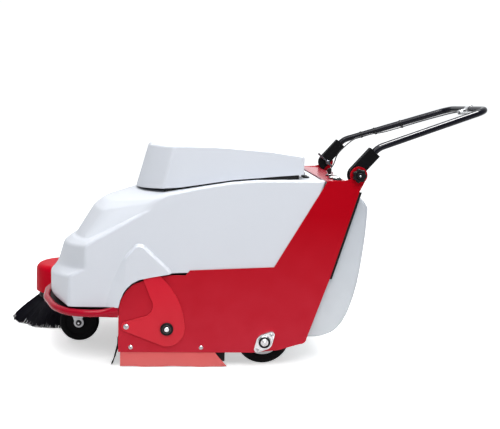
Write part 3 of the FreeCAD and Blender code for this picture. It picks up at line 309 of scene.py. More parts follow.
def inset(points, t):
    """Outline moved inwards by t, with mitred corners."""
    area = sum(a[0] * b[1] - b[0] * a[1] for a, b in zip(points, points[1:] + points[:1]))
    turn = 1.0 if area > 0 else -1.0
    moved = []
    for k, p in enumerate(points):
        a, b = Vector(p) - Vector(points[k - 1]), Vector(points[(k + 1) % len(points)]) - Vector(p)
        across_a, across_b = (Vector((-v.y, v.x)).normalized() * turn for v in (a, b))
        mitre = across_a + across_b
        moved.append(tuple(Vector(p) + mitre * (t / max(0.2, mitre.dot(across_a)))))
    return moved


def softened(points, reach, steps=4):
    """Outline whose corners are rounded over reach each way, or as far as its runs leave room for."""
    line = []
    for k, p in enumerate(points):
        p, q, s = Vector(p), Vector(points[k - 1]), Vector(points[(k + 1) % len(points)])
        room = min(reach, 0.46 * (p - q).length, 0.46 * (s - p).length)
        a, b = p + (q - p).normalized() * room, p + (s - p).normalized() * room
        line += [tuple(a * (1 - t) ** 2 + p * 2 * t * (1 - t) + b * t * t)
                 for t in (j / steps for j in range(steps + 1))]
    return line


def lofted(name, rings, capped=True):
    """A closed skin through rings of points, in mm: its ends are capped, or its last ring meets its first."""
    shape = bmesh.new()
    rows = [[shape.verts.new(Vector(p) * mm) for p in ring] for ring in rings]
    for row, following in zip(rows, rows[1:] if capped else rows[1:] + rows[:1]):
        for k in range(len(row)):
            shape.faces.new((row[k - 1], row[k], following[k], following[k - 1]))
    if capped:
        shape.faces.new(rows[0][::-1])
        shape.faces.new(rows[-1])
    bmesh.ops.remove_doubles(shape, verts=shape.verts, dist=0.001 * mm)
    if not capped:
        bmesh.ops.dissolve_degenerate(shape, edges=shape.edges, dist=0.001 * mm)
    bmesh.ops.recalc_face_normals(shape, faces=shape.faces)
    return made_piece(name, shape)


def at_y(line, y):
    """An outline in X and Z, put at y."""
    return [(x, y, z) for x, z in line]


def slab(name, line, y0, y1):
    """An outline in X and Z, thick from y0 to y1."""
    return lofted(name, [at_y(line, y0), at_y(line, y1)])


def crate(name, x0, x1, y0, y1, z0, z1, reach=6.0):
    """A box with rounded upright corners."""
    plan = softened([(x0, y0), (x1, y0), (x1, y1), (x0, y1)], reach)
    return lofted(name, [[(x, y, z) for x, y in plan] for z in (z0, z1)])


def shell(name, section, half, r, reach, blend_reach, wall=0.0):
    """Moulded skin whose flat sides meet its top and front in a round of radius r; wall is how far in it lies."""
    turns = [half - r + r * math.sin(math.radians(a)) for a in (90, 72, 54, 36, 18, 0)]
    inner_y = [half - r - 6 - (half - r - 6) * k / 26 for k in range(27)]
    rings = []
    for y in [-v for v in turns + inner_y] + (turns + inner_y[:-1])[::-1]:
        line = averaged(section, y, min(blend_reach, half - abs(y)))
        lean = math.sqrt(max(0.0, 1 - ((abs(y) - half + r) / r) ** 2)) if abs(y) > half - r else 1.0
        swell = 0.5 * r * (abs(y) / half) ** 8
        line = inset(line, r * (1 - lean) - swell + wall)
        rings.append(at_y(softened(line, reach), y * (half - wall) / half))
    return lofted(name, rings)


def carved(piece, cutters, how="DIFFERENCE"):
    """Cuts the cutters out of the piece, or joins them to it, and clears them away."""
    for cutter in cutters:
        cut = piece.modifiers.new("cut", "BOOLEAN")
        cut.operation, cut.object, cut.solver = how, cutter, "EXACT"
    settled(piece)
    for cutter in cutters:
        bpy.data.objects.remove(cutter)
    return piece


boss_line = [(-512, 200), (-508, 300), (-500, 405), (-462, 449), (-436, 449), (-332, 352), (-332, 300), (-400, 200)]
boss_out = 321.3


def boss(side, pocket=False):
    """Raised boss over an arm: its face, its sloped rim, a soft foot on the hood's side, and a long ramp ahead."""
    levels = ([(hood_half - 14, 0.0, 62), (hood_half - 0.3, 0.0, 62), (hood_half + 0.6, 1.2, 56),
               (boss_out - 3.5, 6.5, 17), (boss_out - 1.2, 8.2, 5), (boss_out - 0.3, 10.0, 1), (boss_out, 12.5, 0)]
              if not pocket else [(hood_half - hood_wall - 6, 14.0, 0), (boss_out - hood_wall, 14.0, 0)])
    rings = []
    for y, t, ahead_by in levels:
        line = [(x - ahead_by * min(1.0, max(0.0, (396 - z) / 150)) if k < 3 else x, z)
                for k, (x, z) in enumerate(inset(boss_line, t))]
        rings.append(at_y(softened(line, 16.0), side * y))
    return lofted("boss", rings)


arch = [(-522, 100), (-522, 205), (-513, 246), (-502, 273), (-490, 292), (-472, 309), (-448, 322), (-405, 332),
        (-333, 345), (-290, 347), (hood_rear + 30, 347), (hood_rear + 30, 100)]
lid_half = 250.0
opening_half = lid_half - 60.0
hood_skin = {"section": hood_section, "half": hood_half, "r": 11.0, "reach": 10.0, "blend_reach": 8.0}
hood = shell("hood_shell", **hood_skin)
carved(hood, [boss(-1), boss(1)], "UNION")
past_side = 340
under = [[(-900, y, 90), (-900, y, z), (-400, y, z), (-400, y, 90)] for y, z in (
    (y, hood_low + 7 * (abs(y) / hood_half) ** bulge)
    for y in [-past_side] + [hood_half * k / 8 for k in range(-8, 9)] + [past_side])]
carved(hood, [shell("hood_inside", wall=hood_wall, **hood_skin), boss(-1, True), boss(1, True),
              lofted("under", under), slab("arches", arch, -past_side, past_side),
              crate("opening", -300, 60, -opening_half, opening_half, 560, 720, 25.0)])
white_plastic = made_of("white_plastic", (0.61, 0.635, 0.685), (0.595, 0.62, 0.67), 4.0, (0.30, 0.42), (260.0, 0.05),
                        Specular_IOR_Level=0.45)
fitted(eased(shaded(hood, 38.0), 0.8, 50.0), white_plastic, "chassis", "white_plastic", "hood")

# ---- lid: a second moulded shell over the service opening, 4 mm thick, hinged behind ----
# Its rim stands just clear of the hood and lands on a bulb seal of black rubber round the opening.
lid_rear, lid_wall = 126.0, 4.0
lid_side = [(-384, 590), (-334, 784), (-267, 786), (-178, 786), (3, 776), (lid_rear - 1, 761), (lid_rear, 640)]
lid_middle = [(-490, 590), (-436, 784), (-392, 799), (-200, 810), (-19, 798), (lid_rear - 1, 768), (lid_rear, 640)]
lid_rim = [(-560, 617), (-481, 623), (-388, 635), (-309, 642), (-130, 672), (51, 691), (140, 699)]


def lid_section(y):
    """Side view of the lid, cut at y."""
    share = min(1.0, abs(y) / lid_half) ** 2.2
    return [between(middle, side, share) for side, middle in zip(lid_side, lid_middle)]


lid_skin = {"section": lid_section, "half": lid_half, "r": 7.0, "reach": 9.0, "blend_reach": 7.0}
lid = shell("lid_shell", **lid_skin)
carved(lid, [shell("lid_inside", wall=lid_wall, **lid_skin),
             slab("below_rim", lid_rim + [(140, 560), (-560, 560)], -lid_half - 10, lid_half + 10)])
fitted(eased(shaded(lid, 40.0), 0.8, 50.0), white_plastic, "top_lid", "white_plastic", "lid")
black_plastic = made_of("black_plastic", (0.004, 0.004, 0.005), (0.008, 0.008, 0.009), 12.0, (0.38, 0.52),
                        (600.0, 0.12), Specular_IOR_Level=0.14)
for node_name, body in (("lid_hinge_base", "chassis"), ("lid_hinge_leaf", "top_lid")):
    carried(node_name, 0.8, black_plastic, body, "black_plastic")

# ---- frame: folded sheet steel between the side plates, with the brush tunnel, bulkhead, tray and nose deck ----
# The parts are black-coated steel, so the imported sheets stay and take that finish. The seals are strips of rubber.
dark_steel = made_of("dark_steel", (0.018, 0.018, 0.02), (0.03, 0.03, 0.032), 18.0, (0.45, 0.62), (500.0, 0.1),
                     Metallic=0.25)
dust_and_painted_floor_light(dark_steel, 0.0, 0.30, 0.10, (0.20, 0.19, 0.17))
for node_name in ("cross_plates", "brush_tunnel", "bulkhead", "battery_tray", "nose_deck", "skirt_clamps"):
    for place in nodes[node_name].material_slots:
        place.material = dark_steel
black_rubber = made_of("black_rubber", (0.006, 0.006, 0.007), (0.012, 0.012, 0.013), 25.0, (0.55, 0.72),
                       (700.0, 0.15), Specular_IOR_Level=0.12)
for node_name in ("rear_edge_seals", "dust_seals"):
    carried(node_name, 1.2, black_rubber, "chassis", "black_rubber", node_name + "_strip")

# ---- bumper: a 26 mm steel tube bent round the nose, flattened at its rear end and welded to the left plate ----
# It is painted with the plates and runs a finger's width ahead of the hood, down to its right front corner.
bumper_r, bumper_z, plate_front, half_width = 13.0, 200.0, -519.0, 310.0


def nose(y, out):
    """Front line of the hood in plan, and out ahead of it."""
    corner, middle = hood_side[0][0], hood_middle[0][0]
    return corner - (corner - middle) * (1 - min(1.0, abs(y) / hood_half) ** bulge) - out


def bent(points, radii, bites=7):
    """A bender's route: straight runs joined by arcs, one radius for each inner corner."""
    route = [points[0]]
    for p, q, s, r in zip(points, points[1:], points[2:], radii):
        a, b = (p - q).normalized(), (s - q).normalized()
        half = a.angle(b) / 2
        centre = q + (a + b).normalized() * (r / math.sin(half))
        first, axle_line, swing = q + a * r / math.tan(half) - centre, b.cross(a), math.pi - 2 * half
        route += [centre + Matrix.Rotation(swing * k / bites, 3, axle_line) @ first for k in range(bites + 1)]
    return route + [points[-1]]


def spaced(route, step):
    """The same route with a point every step."""
    line, left = [route[0]], step
    for p, q in zip(route, route[1:]):
        run = (q - p).length
        while left < run:
            line.append(p.lerp(q, left / run))
            left += step
        left -= run
    return line + [route[-1]]


def tube(name, route, size, sides=24, wall=0.0):
    """A skin round a route, back inside it where there is a wall; size(distance) is half width, half height, drop."""
    rings, travelled, cross = [], 0.0, None
    for k, p in enumerate(route):
        along = (route[min(k + 1, len(route) - 1)] - route[max(k - 1, 0)]).normalized()
        cross = along.cross(Vector((0, 0, 1))).normalized() if cross is None else (
            cross - along * cross.dot(along)).normalized()
        over = cross.cross(along)
        travelled += (p - route[k - 1]).length if k else 0.0
        wide, tall, drop = size(travelled)
        rings.append([p + Vector((0, 0, drop)) + cross * wide * math.cos(a) + over * tall * math.sin(a)
                      for a in (2 * math.pi * j / sides for j in range(sides))])
    if not wall:
        return lofted(name, rings)
    inner = [[c + (v - c) * (1 - wall / (v - c).length) for v in ring] for ring in rings
             for c in [sum(ring, Vector()) / len(ring)]]
    return lofted(name, rings + inner[::-1], capped=False)


def bumper_size(travelled):
    """Flat against the plate at first, then round."""
    flat_run, change, flat_half, flat_height, flat_drop = 8, 62.0, 3.0, 19.0, 3.5
    part = min(1.0, max(0.0, (travelled - flat_run) / change))
    part = part * part * (3 - 2 * part)
    return (flat_half + (bumper_r - flat_half) * part, flat_height + (bumper_r - flat_height) * part,
            flat_drop * (1 - part))


bumper_points = [Vector((x, -half_width - out, bumper_z))
                 for x, out in ((plate_front - 0.5, 3), (plate_front - 40, 6), (-680, 8))]
bumper_points += [Vector((nose(y, out), y, bumper_z)) for y, out in
                  ((70 - half_width, 27), (-110, 22), (30, 20), (half_width - 185, 18), (half_width - 135, 4))]
bumper = tube("bumper_tube", spaced(bent(bumper_points, [60, 130, 190, 220, 150, 30], 16), 9.0), bumper_size)
bumper_paint = made_of("bumper_paint", (0.36, 0.0008, 0.016), (0.34, 0.0008, 0.015), 8.0, (0.12, 0.17), (800.0, 0.03),
                       Specular_IOR_Level=0.14, Coat_Weight=0.06, Coat_Roughness=0.06)
fitted(shaded(bumper, 50.0), bumper_paint, "chassis", "red_paint", "bumper")

# ---- swing arms: 4 mm plate in the plates' red, one outside each side plate, joined behind by a round bar ----
# They carry the main brush and tip up on bolts near the plates' front edges.
# painted light: this is the plates' red made lighter, for the light the arms catch; the side brush's arm and bracket
# share it
arm_paint = made_of("arm_paint", (0.60, 0.006, 0.024), (0.57, 0.006, 0.022), 6.0, (0.30, 0.38), (900.0, 0.03),
                    Specular_IOR_Level=0.10)
dust_and_painted_floor_light(arm_paint, 0.02, 0.40, 0.06)
# painted shade: darker red lines along the arms' edges, where they meet the plates
painted_edge_light(arm_paint, (0.30, 0.01, 0.015))
carried("swing_arms", 0.8, arm_paint, "brush_carriage", "red_paint", "arms")

# ---- main brush: a black plastic roller with rows of stiff nylon tufts, on a bright steel shaft ----
# A black flange bearing holds its left end in the arm, and a geared motor drives its right end.
brush_x, brush_z, arm_out, core_half = -349.0, 144.0, 315.0, 293.0


def turned(name, outline, x, z, side=1, base=0.0, steps=64):
    """A round piece: an outline of (radius, y) spun about the line along Y through x, z; y counts out from base."""
    return shaded(lofted(name, [[(x + r * math.cos(a), side * (base + y), z + r * math.sin(a)) for r, y in outline]
                                for a in (2 * math.pi * k / steps for k in range(steps))], capped=False))


def mirrored(half):
    """A whole outline from its half, the same on both sides of y = 0."""
    return [(r, -y) for r, y in half] + half[::-1]


def joined(name, *pieces):
    """Several meshes as one piece."""
    shape = bmesh.new()
    for piece in pieces:
        shape.from_mesh(piece.data)
        bpy.data.objects.remove(piece)
    return shaded(made_piece(name, shape))


zinc = made_of("zinc", (0.62, 0.62, 0.63), (0.48, 0.48, 0.50), 30.0, (0.26, 0.42), (300.0, 0.1), Metallic=0.9)
bright_steel = made_of("bright_steel", (0.80, 0.80, 0.82), (0.68, 0.68, 0.70), 60.0, (0.15, 0.25), (500.0, 0.05),
                       Metallic=0.95)
bearing = turned("brush_bearing", [(10.2, 3.0), (11, 4.6), (15, 6.5), (21, 6.5), (22.6, 5.5), (23.2, 3.5), (23.2, 0),
                                   (18, 0), (18, -4), (10.2, -4)], brush_x, brush_z, -1, arm_out)
fitted(bearing, black_plastic, "brush_carriage", "black_plastic", "brush_bearing_left")
race = turned("brush_race", [(12.0, 6.6), (12.5, 7.0), (15.2, 7.0), (15.7, 6.6), (14.0, 6.2)],
              brush_x, brush_z, -1, arm_out)
fitted(race, dark_steel, "brush_carriage", "dark_steel")
roller = turned("brush_roller", mirrored([(10, core_half), (52, core_half), (55, core_half - 3)]), brush_x, brush_z)
fitted(roller, black_plastic, "main_brush", "black_plastic", "main_brush_core")
shaft_line = [(r, -arm_out - out) for r, out in ((0, 8.6), (2.6, 8.6), (3.0, 9), (7.6, 9), (8.8, 7.8), (9.2, 2))]
shaft = turned("brush_shaft", shaft_line + [(9.8, arm_out + 35), (0, arm_out + 35)], brush_x, brush_z, steps=36)
fitted(shaft, bright_steel, "main_brush", "zinc")


def tree(name, sizes):
    """An empty Geometry Nodes tree, and the sizes that it is given by name."""
    made = bpy.data.node_groups.new(name, "GeometryNodeTree")
    for way in ("INPUT", "OUTPUT"):
        made.interface.new_socket("Geometry", in_out=way, socket_type="NodeSocketGeometry")
    for size, value in sizes.items():
        kind = "NodeSocketInt" if isinstance(value, int) else "NodeSocketFloat"
        made.interface.new_socket(size, in_out="INPUT", socket_type=kind).default_value = value
    return made, node(made, "NodeGroupInput").outputs


def vector(made, x=0.0, y=0.0, z=0.0):
    """A vector from its parts."""
    return node(made, "ShaderNodeCombineXYZ", {"X": x, "Y": y, "Z": z}).outputs[0]


def vectors(made, how, a, b=(0.0, 0.0, 0.0)):
    """Arithmetic on one or two vectors."""
    return node(made, "ShaderNodeVectorMath", {0: a, 1: b}, operation=how).outputs[0]


def angled(made, x=0.0, y=0.0, z=0.0):
    """A rotation from its angles."""
    return node(made, "FunctionNodeEulerToRotation", {0: vector(made, x, y, z)}).outputs[0]


def draw(made, low, high, seed):
    """A random number, or a random vector, between low and high."""
    kind, first, out = ("FLOAT_VECTOR", 0, 0) if isinstance(low, tuple) else ("FLOAT", 2, 1)
    return node(made, "FunctionNodeRandomValue", {first: low, first + 1: high, "Seed": seed},
                data_type=kind).outputs[out]


def placed_on(made, points, shape, turn, material, **size):
    """Ends a tree: the shape put on every point, made real and given its material."""
    copies = node(made, "GeometryNodeInstanceOnPoints", {
        "Points": points, "Instance": shape, "Rotation": turn, **size})
    solid = node(made, "GeometryNodeRealizeInstances", {"Geometry": copies.outputs[0]})
    coated = node(made, "GeometryNodeSetMaterial", {"Geometry": solid.outputs[0], "Material": material})
    made.links.new(coated.outputs[0], node(made, "NodeGroupOutput").inputs[0])


def grown(name, made, values, points):
    """Runs a tree on a cloud of points and keeps the result as a plain mesh."""
    mesh = bpy.data.meshes.new(name)
    mesh.from_pydata([Vector(p) * mm for p in points], [], [])
    piece = set_out(name, mesh)
    maker = piece.modifiers.new("maker", "NODES")
    maker.node_group = made
    for item in made.interface.items_tree:
        if item.in_out == "INPUT" and item.name in values:
            maker[item.identifier] = values[item.name]
    settled(piece).data.materials.clear()
    return piece


bristle = made_of("bristle", (0.002, 0.002, 0.005), (0.011, 0.010, 0.018), 160.0, (0.35, 0.6), (900.0, 0.1),
                  Specular_IOR_Level=0.09)
tufts, given = tree("roller_tufts", {"Axis X": 0.0, "Axis Z": 0.0, "Reach": 0.088, "Seed": 4})
cone = node(tufts, "GeometryNodeMeshCone", {"Vertices": 7, "Side Segments": 2, "Radius Top": 0.0062,
                                            "Radius Bottom": 0.0034, "Depth": given["Reach"]}).outputs["Mesh"]
root = apart(tufts, node(tufts, "GeometryNodeInputPosition").outputs[0])
straight_out = vector(tufts, sums(tufts, "SUBTRACT", root["X"], given["Axis X"]),
                      z=sums(tufts, "SUBTRACT", root["Z"], given["Axis Z"]))
wander = draw(tufts, (-0.006, -0.005, -0.006), (0.006, 0.005, 0.006), given["Seed"])
aim = vectors(tufts, "ADD", straight_out, wander)
turn = node(tufts, "FunctionNodeAlignRotationToVector", {"Vector": aim}, axis="Z")
trim = draw(tufts, 0.95, 0.99, given["Seed"])
placed_on(tufts, given["Geometry"], cone, turn.outputs[0], bristle, Scale=vector(tufts, 1.0, 1.0, trim))
tuft_rows, tufts_each, tuft_pitch, root_r, helix = 12, 47, 12.17, 54, 0.5
roots = [(brush_x + root_r * math.cos(a + helix * y / core_half), y,
          brush_z + root_r * math.sin(a + helix * y / core_half))
         for a in (2 * math.pi * k / tuft_rows for k in range(tuft_rows))
         for y in (-280 + tuft_pitch * j for j in range(tufts_each))]
sweep = grown("roller_bristles", tufts, {"Axis X": brush_x * mm, "Axis Z": brush_z * mm, "Reach": 0.087}, roots)
fitted(sweep, bristle, "main_brush", "bristle", "main_brush_bristles")
fins = [(48 - 2.5 * (k % 2), 6 + 4 * (k // 2) + 2 * (k % 2)) for k in range(26)]
motor = joined("roller_motor", turned("case", [(0, 0), (46, 0), (48, 2)] + fins + [
    (48, 60), (44, 64), (34, 64), (34, 71), (31, 74), (0, 74)], brush_x, brush_z, 1, arm_out),
               turned("spigot", [(10.1, -4), (18, -4), (18, 1), (10.1, 1)], brush_x, brush_z, 1, arm_out))
fitted(motor, black_plastic, "brush_carriage", "black_plastic", "brush_motor")

# ---- fasteners on the plates: zinc-plated pan heads with a cross recess, the largest on the arms' pivots ----
# Those on the plates and the pivots sit on washers, and those on the bearing flanges don't.
heads, given = tree("pan_heads", {"Head Radius": 0.008, "Shank": 0.012})
head_r, upwards = given["Head Radius"], vector(heads, z=sums(heads, "MULTIPLY", given["Head Radius"], 0.62))
ball = node(heads, "GeometryNodeMeshUVSphere", {"Segments": 20, "Rings": 10, "Radius": head_r}).outputs["Mesh"]
pan = node(heads, "GeometryNodeTransform", {"Geometry": ball, "Scale": (1, 1, 0.6)}).outputs[0]
recessed = node(heads, "GeometryNodeMeshBoolean", {"Mesh 1": pan}, operation="DIFFERENCE")
for bar in ((0.95, 0.24, 0.7), (0.24, 0.95, 0.7)):
    size = node(heads, "ShaderNodeVectorMath", {0: bar, "Scale": head_r}, operation="SCALE").outputs[0]
    cutter = node(heads, "GeometryNodeMeshCube", {"Size": size}).outputs["Mesh"]
    lifted = node(heads, "GeometryNodeTransform", {"Geometry": cutter, "Translation": upwards})
    heads.links.new(lifted.outputs[0], recessed.inputs["Mesh 2"])
shank = node(heads, "GeometryNodeMeshCylinder", {"Vertices": 16, "Radius": sums(heads, "MULTIPLY", head_r, 0.55),
                                                 "Depth": given["Shank"]}).outputs["Mesh"]
downwards = vector(heads, z=sums(heads, "MULTIPLY", given["Shank"], -0.5))
below_head = node(heads, "GeometryNodeTransform", {"Geometry": shank, "Translation": downwards})
whole = node(heads, "GeometryNodeJoinGeometry")
for part in (below_head, recessed):
    heads.links.new(part.outputs[0], whole.inputs[0])
side_of = sums(heads, "SIGN", apart(heads, node(heads, "GeometryNodeInputPosition").outputs[0])["Y"])
facing = node(heads, "FunctionNodeRotateRotation", {
    "Rotation": angled(heads, x=sums(heads, "MULTIPLY", side_of, -math.pi / 2)),
    "Rotate By": angled(heads, z=draw(heads, 0.0, 1.5, 3))}, rotation_space="LOCAL").outputs[0]
placed_on(heads, given["Geometry"], whole.outputs[0], facing, zinc)

flange_turn, flange_reach, axle_z = math.radians(48), 35.75, 100.0
plate_bolts = [(x, s * (half_width + 0.2), 75.0) for x in (-475.0, -226.0) for s in (-1, 1)]
pivot_bolts = [(-491.0, s * (arm_out + 1.0), 152.0) for s in (-1, 1)]
flange_bolts = [(k * flange_reach * math.cos(flange_turn), s * (half_width + 11),
                 axle_z + k * flange_reach * math.sin(flange_turn)) for k in (-1, 1) for s in (-1, 1)]
screws = [grown("screw", heads, {"Head Radius": r, "Shank": long}, places) for r, long, places in
          ((0.0064, 0.012, plate_bolts), (0.0080, 0.012, pivot_bolts), (0.0062, 0.015, flange_bolts))]
washers = [turned("washer", [(4, 0), (r, 0), (r, 1.0), (r - 0.8, 1.5), (4, 1.5)], x, z,
                  math.copysign(1, y), abs(y) - 0.4, 28)
           for places, r in ((plate_bolts, 7.6), (pivot_bolts, 9.6)) for x, y, z in places]
fitted(joined("frame_screws", *screws, *washers), zinc, "chassis", "zinc", "frame_bolts")

# ---- axle bearings: pressed zinc-plated two-bolt flanges bolted to the plates, with black seals ----
# The axle's end stands out of each, with a bolt in it.
axle_end = half_width + 18.0


def flange_line(r_mid, r_end, steps=10):
    """Outline of a two-bolt flange: a round middle drawn out to two ears."""
    swing = math.acos((r_mid - r_end) / flange_reach)
    arcs = ((flange_reach, r_end, -swing, swing), (0.0, r_mid, swing, math.pi - swing),
            (-flange_reach, r_end, math.pi - swing, math.pi + swing),
            (0.0, r_mid, math.pi + swing, 2 * math.pi - swing))
    line = [(centre + r * math.cos(a), r * math.sin(a)) for centre, r, a0, a1 in arcs
            for a in (a0 + (a1 - a0) * k / steps for k in range(steps + 1))]
    return [(u * math.cos(flange_turn) - v * math.sin(flange_turn),
             axle_z + u * math.sin(flange_turn) + v * math.cos(flange_turn)) for u, v in line]


flanges, seals, ends = [], [], []
for s in (-1, 1):
    rings = [at_y(flange_line(30 - t, 13 - t), s * (half_width + y)) for y, t in
             ((0.1, 0.0), (8.5, 0.0), (10.3, 0.8), (11.0, 2.4), (10.8, 4.0), (9.4, 5.0))]
    housing = [(10.1, 3), (24, 3), (24, 11), (23.2, 13.6), (21.4, 15.0), (20.2, 14.2), (10.1, 14.2)]
    inner_race = [(10.1, 12), (13.6, 12), (13.6, 16.4), (12.8, 17), (10.1, 17)]
    seal = [(13.5, 13), (20.6, 13), (20.6, 15.6), (19, 16.4), (15, 16.4), (13.5, 15.6)]
    end_bolt = [(0, 2), (3.6, 2), (4, 5), (6.4, 5), (7.2, 4), (7.2, -1), (0, -1)]
    flanges += [lofted("flange", rings), turned("housing", housing, 0, axle_z, s, half_width),
                turned("inner_race", inner_race, 0, axle_z, s, half_width)]
    seals.append(turned("seal", seal, 0, axle_z, s, half_width))
    ends.append(turned("end_bolt", end_bolt, 0, axle_z, s, axle_end))
fitted(joined("bearing_flanges", *flanges), bright_steel, "chassis", "zinc", "axle_bearings")
fitted(joined("bearing_seals", *seals), black_rubber, "chassis", "black_rubber")
bar = turned("bar", mirrored([(0, axle_end), (8.6, axle_end), (9.8, axle_end - 1.2)]), 0, axle_z)
fitted(joined("axle", bar, *ends), bright_steel, "rear_wheels", "zinc", "rear_axle")

# ---- rear wheels: solid black rubber tyres with ribbed sides, on pressed grey hubs keyed to the axle ----
# Each outline is half of the wheel, by its depth in from a face, and the other half is the same.
wheel_out, wheel_in, rim_r = 262.0, 212.0, 68.0
tyre_rubber = made_of("tyre_rubber", (0.0035, 0.0035, 0.0045), (0.006, 0.006, 0.007), 20.0, (0.45, 0.65),
                      (500.0, 0.2), Specular_IOR_Level=0.06)
dust_and_painted_floor_light(tyre_rubber, 0.0, 0.12, 0.03, (0.25, 0.24, 0.22))
aluminium = made_of("aluminium", (0.66, 0.67, 0.68), (0.56, 0.57, 0.58), 40.0, (0.3, 0.42), (400.0, 0.15),
                    Metallic=0.85)
tread = [(rim_r, 6), (72, 4.2), (76, 3.4), (77, 2.6), (79, 2.6), (80, 3.2), (86, 1.2), (88, 0.4), (90, 1.0),
         (92, 0.6), (95.5, 1.6), (98, 3.4), (99.4, 6), (100, 9.5), (100, 20), (98.6, 20.6), (98.6, 22.4), (100, 23)]
pressing = [(10, -2), (22.5, -2), (24, 0), (24, 16), (54, 17), (57, 14), (58, 7), (rim_r - 1, 5.4), (rim_r, 7)]
for name, half, steps, material, slot, node_name in (
        ("tyres", tread, 96, tyre_rubber, "tyre_rubber", "rear_tyres"),
        ("hubs", pressing, 64, aluminium, "aluminium", "rear_rims")):
    outline = [(r, wheel_out - y) for r, y in half] + [(r, wheel_in + y) for r, y in half[::-1]]
    wheels = joined(name, *[turned("wheel", outline, 0, axle_z, s, steps=steps) for s in (-1, 1)])
    fitted(shaded(wheels, 28.0), material, "rear_wheels", slot, node_name)

# ---- front castor: a black wheel in a pressed zinc fork that swivels under the nose deck ----
# The fork's legs end in raised rounds, each under a washer and the end of the wheel's bolt.
castor_x, castor_r = -697.0, 75.0
carried("castor_fork", 1.2, zinc, "castor_swivel", "zinc")
for name, outline, steps, material, slot in (
        ("castor_leg_ends", [(10.1, 21.3), (18.6, 21.3), (19.0, 21.8), (19.0, 25.0), (18.4, 25.6), (10.1, 25.6)],
         64, zinc, "zinc"),
        ("castor_washers", [(4.4, 31.2), (4.4, 32.6), (8.4, 32.6), (10.4, 31.0), (11.6, 26.2), (11.6, 25.7),
                            (10.2, 25.7), (10.2, 31.2)], 64, dark_steel, "dark_steel"),
        ("castor_bolt_ends", [(0, 31.0), (0, 33.2), (3.6, 33.0), (4.2, 31.0)], 32, bright_steel, "zinc")):
    pair = [turned("end", outline, castor_x, castor_r, s, steps=steps) for s in (-1, 1)]
    fitted(joined(name, *pair), material, "castor_swivel", slot)
castor_half = [(6.1, 20.6), (16.5, 20.6), (18, 19.4), (18, 14.5), (24, 14), (47, 14), (50, 15), (53, 17.6),
               (55, 18.4), (60, 18.8), (63, 19.6), (66, 20), (70, 18.8), (73, 15.6), (74.6, 11), (75, 6)]
castor = turned("castor_wheel_piece", mirrored(castor_half), castor_x, castor_r, steps=80)
fitted(castor, tyre_rubber, "castor_roller", "tyre_rubber", "castor_wheel")

# ---- side skirts and floor flaps: sheet rubber about 3 mm thick, red at the sides and black across, hand cut ----
# The skirts are clamped inside the plates, and their lower edges run a little wavy just over the floor.
red_rubber = made_of("red_rubber", (0.74, 0.115, 0.115), (0.67, 0.09, 0.088), 10.0, (0.45, 0.6), (260.0, 0.15),
                     Specular_IOR_Level=0.4)
dust_and_painted_floor_light(red_rubber, 0.0, 0.06, 0.12, (0.60, 0.38, 0.34))


def sheet(name, columns, thick):
    """Rubber sheet from columns of points, with half its thickness on each side."""
    shape = bmesh.new()
    rows = [[shape.verts.new(Vector(p) * mm) for p in column] for column in columns]
    for row, following in zip(rows, rows[1:]):
        for k in range(len(row) - 1):
            shape.faces.new((row[k], row[k + 1], following[k + 1], following[k]))
    piece = made_piece(name, shape)
    skin = piece.modifiers.new("thickness", "SOLIDIFY")
    skin.thickness, skin.offset = thick * mm, 0.0
    return settled(piece)


def skirt_top(x):
    """Height of a skirt's top edge: level as far as x = -178, then a step down and a fall to the rear."""
    if x < -177.9:
        return 95.0 if x < -178 else 60.0
    if x < -170:
        return 60 - (x + 178) * 1.5
    return 48 - (x + 170) * 11 / 9 if x < -161 else 37 - (x + 161) * 33.2 / 30


skirts, flaps, skirt_y, over_floor, rows_up = [], [], 305.5, 3.2, 6
skirt_x = [-512 + 334 * k / 40 for k in range(41)] + [-177.9 + 46.9 * k / 12 for k in range(13)]
for s in (-1, 1):
    columns = []
    for x in skirt_x:
        low = over_floor + 0.9 * math.sin(x / 31.0 + s) + 0.5 * math.sin(x / 11.0)
        high = max(skirt_top(x), low + 0.6)
        sway = 1.1 * math.sin(x / 27.0 + 2 * s)
        columns.append([(x, s * (skirt_y + (1 - k / rows_up) ** 2 * sway), low + (high - low) * k / rows_up)
                        for k in range(rows_up + 1)])
    skirts.append(sheet("skirt", columns, 2.6))
fitted(joined("skirts", *skirts), red_rubber, "chassis", "red_rubber", "side_skirts")
front_line = [(-521.2, 106), (-521.2, 94), (-521.6, 84), (-524.0, 72), (-527.5, 58), (-531, 42), (-533.5, 28),
              (-536.5, 16), (-541, 8)]
rear_line = [(-151, 76), (-151, 66), (-150.8, 58), (-149, 48), (-146.5, 38), (-144.5, 30), (-142, 21)]
for line in (front_line, rear_line):
    flaps.append(sheet("flap", [
        [(x + ((106 - z) / 100) ** 2 * (1.6 * math.sin(y / 37.0) + 0.9 * math.sin(y / 13.0 + 1)), y, z)
         for x, z in line]
        for y in (-299 + 598 * k / 40 for k in range(41))], 3.6))
for s in (-1, 1):
    flaps.append(sheet("side_flap", [[(x, s * (300.5 + 0.6 * math.sin(x / 9.0)), 22.0 + 6 * k) for k in range(10)]
                                     for x in (-206.0 + 6.6 * k for k in range(11))], 3.0))
fitted(joined("flaps", *flaps), black_rubber, "chassis", "black_rubber", "floor_flaps")

# ---- side brush: a red moulded guard over a flat motor, and a black disc with rings of long nylon tufts ----
# It hangs from an arm that is hinged ahead of the right plate, and it turns about a line through the disc.
side_x, side_y, guard_r, guard_top, guard_low = -806.0, 350.0, 125.0, 235.0, 119.0
flat_at, flat_turn, guard_round = 100.0, math.radians(-37.7), 26


def guard_line(t, steps=60):
    """The guard in plan: round, with a flat back where the arm is bolted."""
    swing = math.acos((flat_at - t) / (guard_r - t))
    line = [(side_x + (guard_r - t) * math.cos(flat_turn + a), side_y + (guard_r - t) * math.sin(flat_turn + a))
            for a in (swing + (2 * math.pi - 2 * swing) * k / steps for k in range(steps + 1))]
    return softened(line, 6.0, 3)


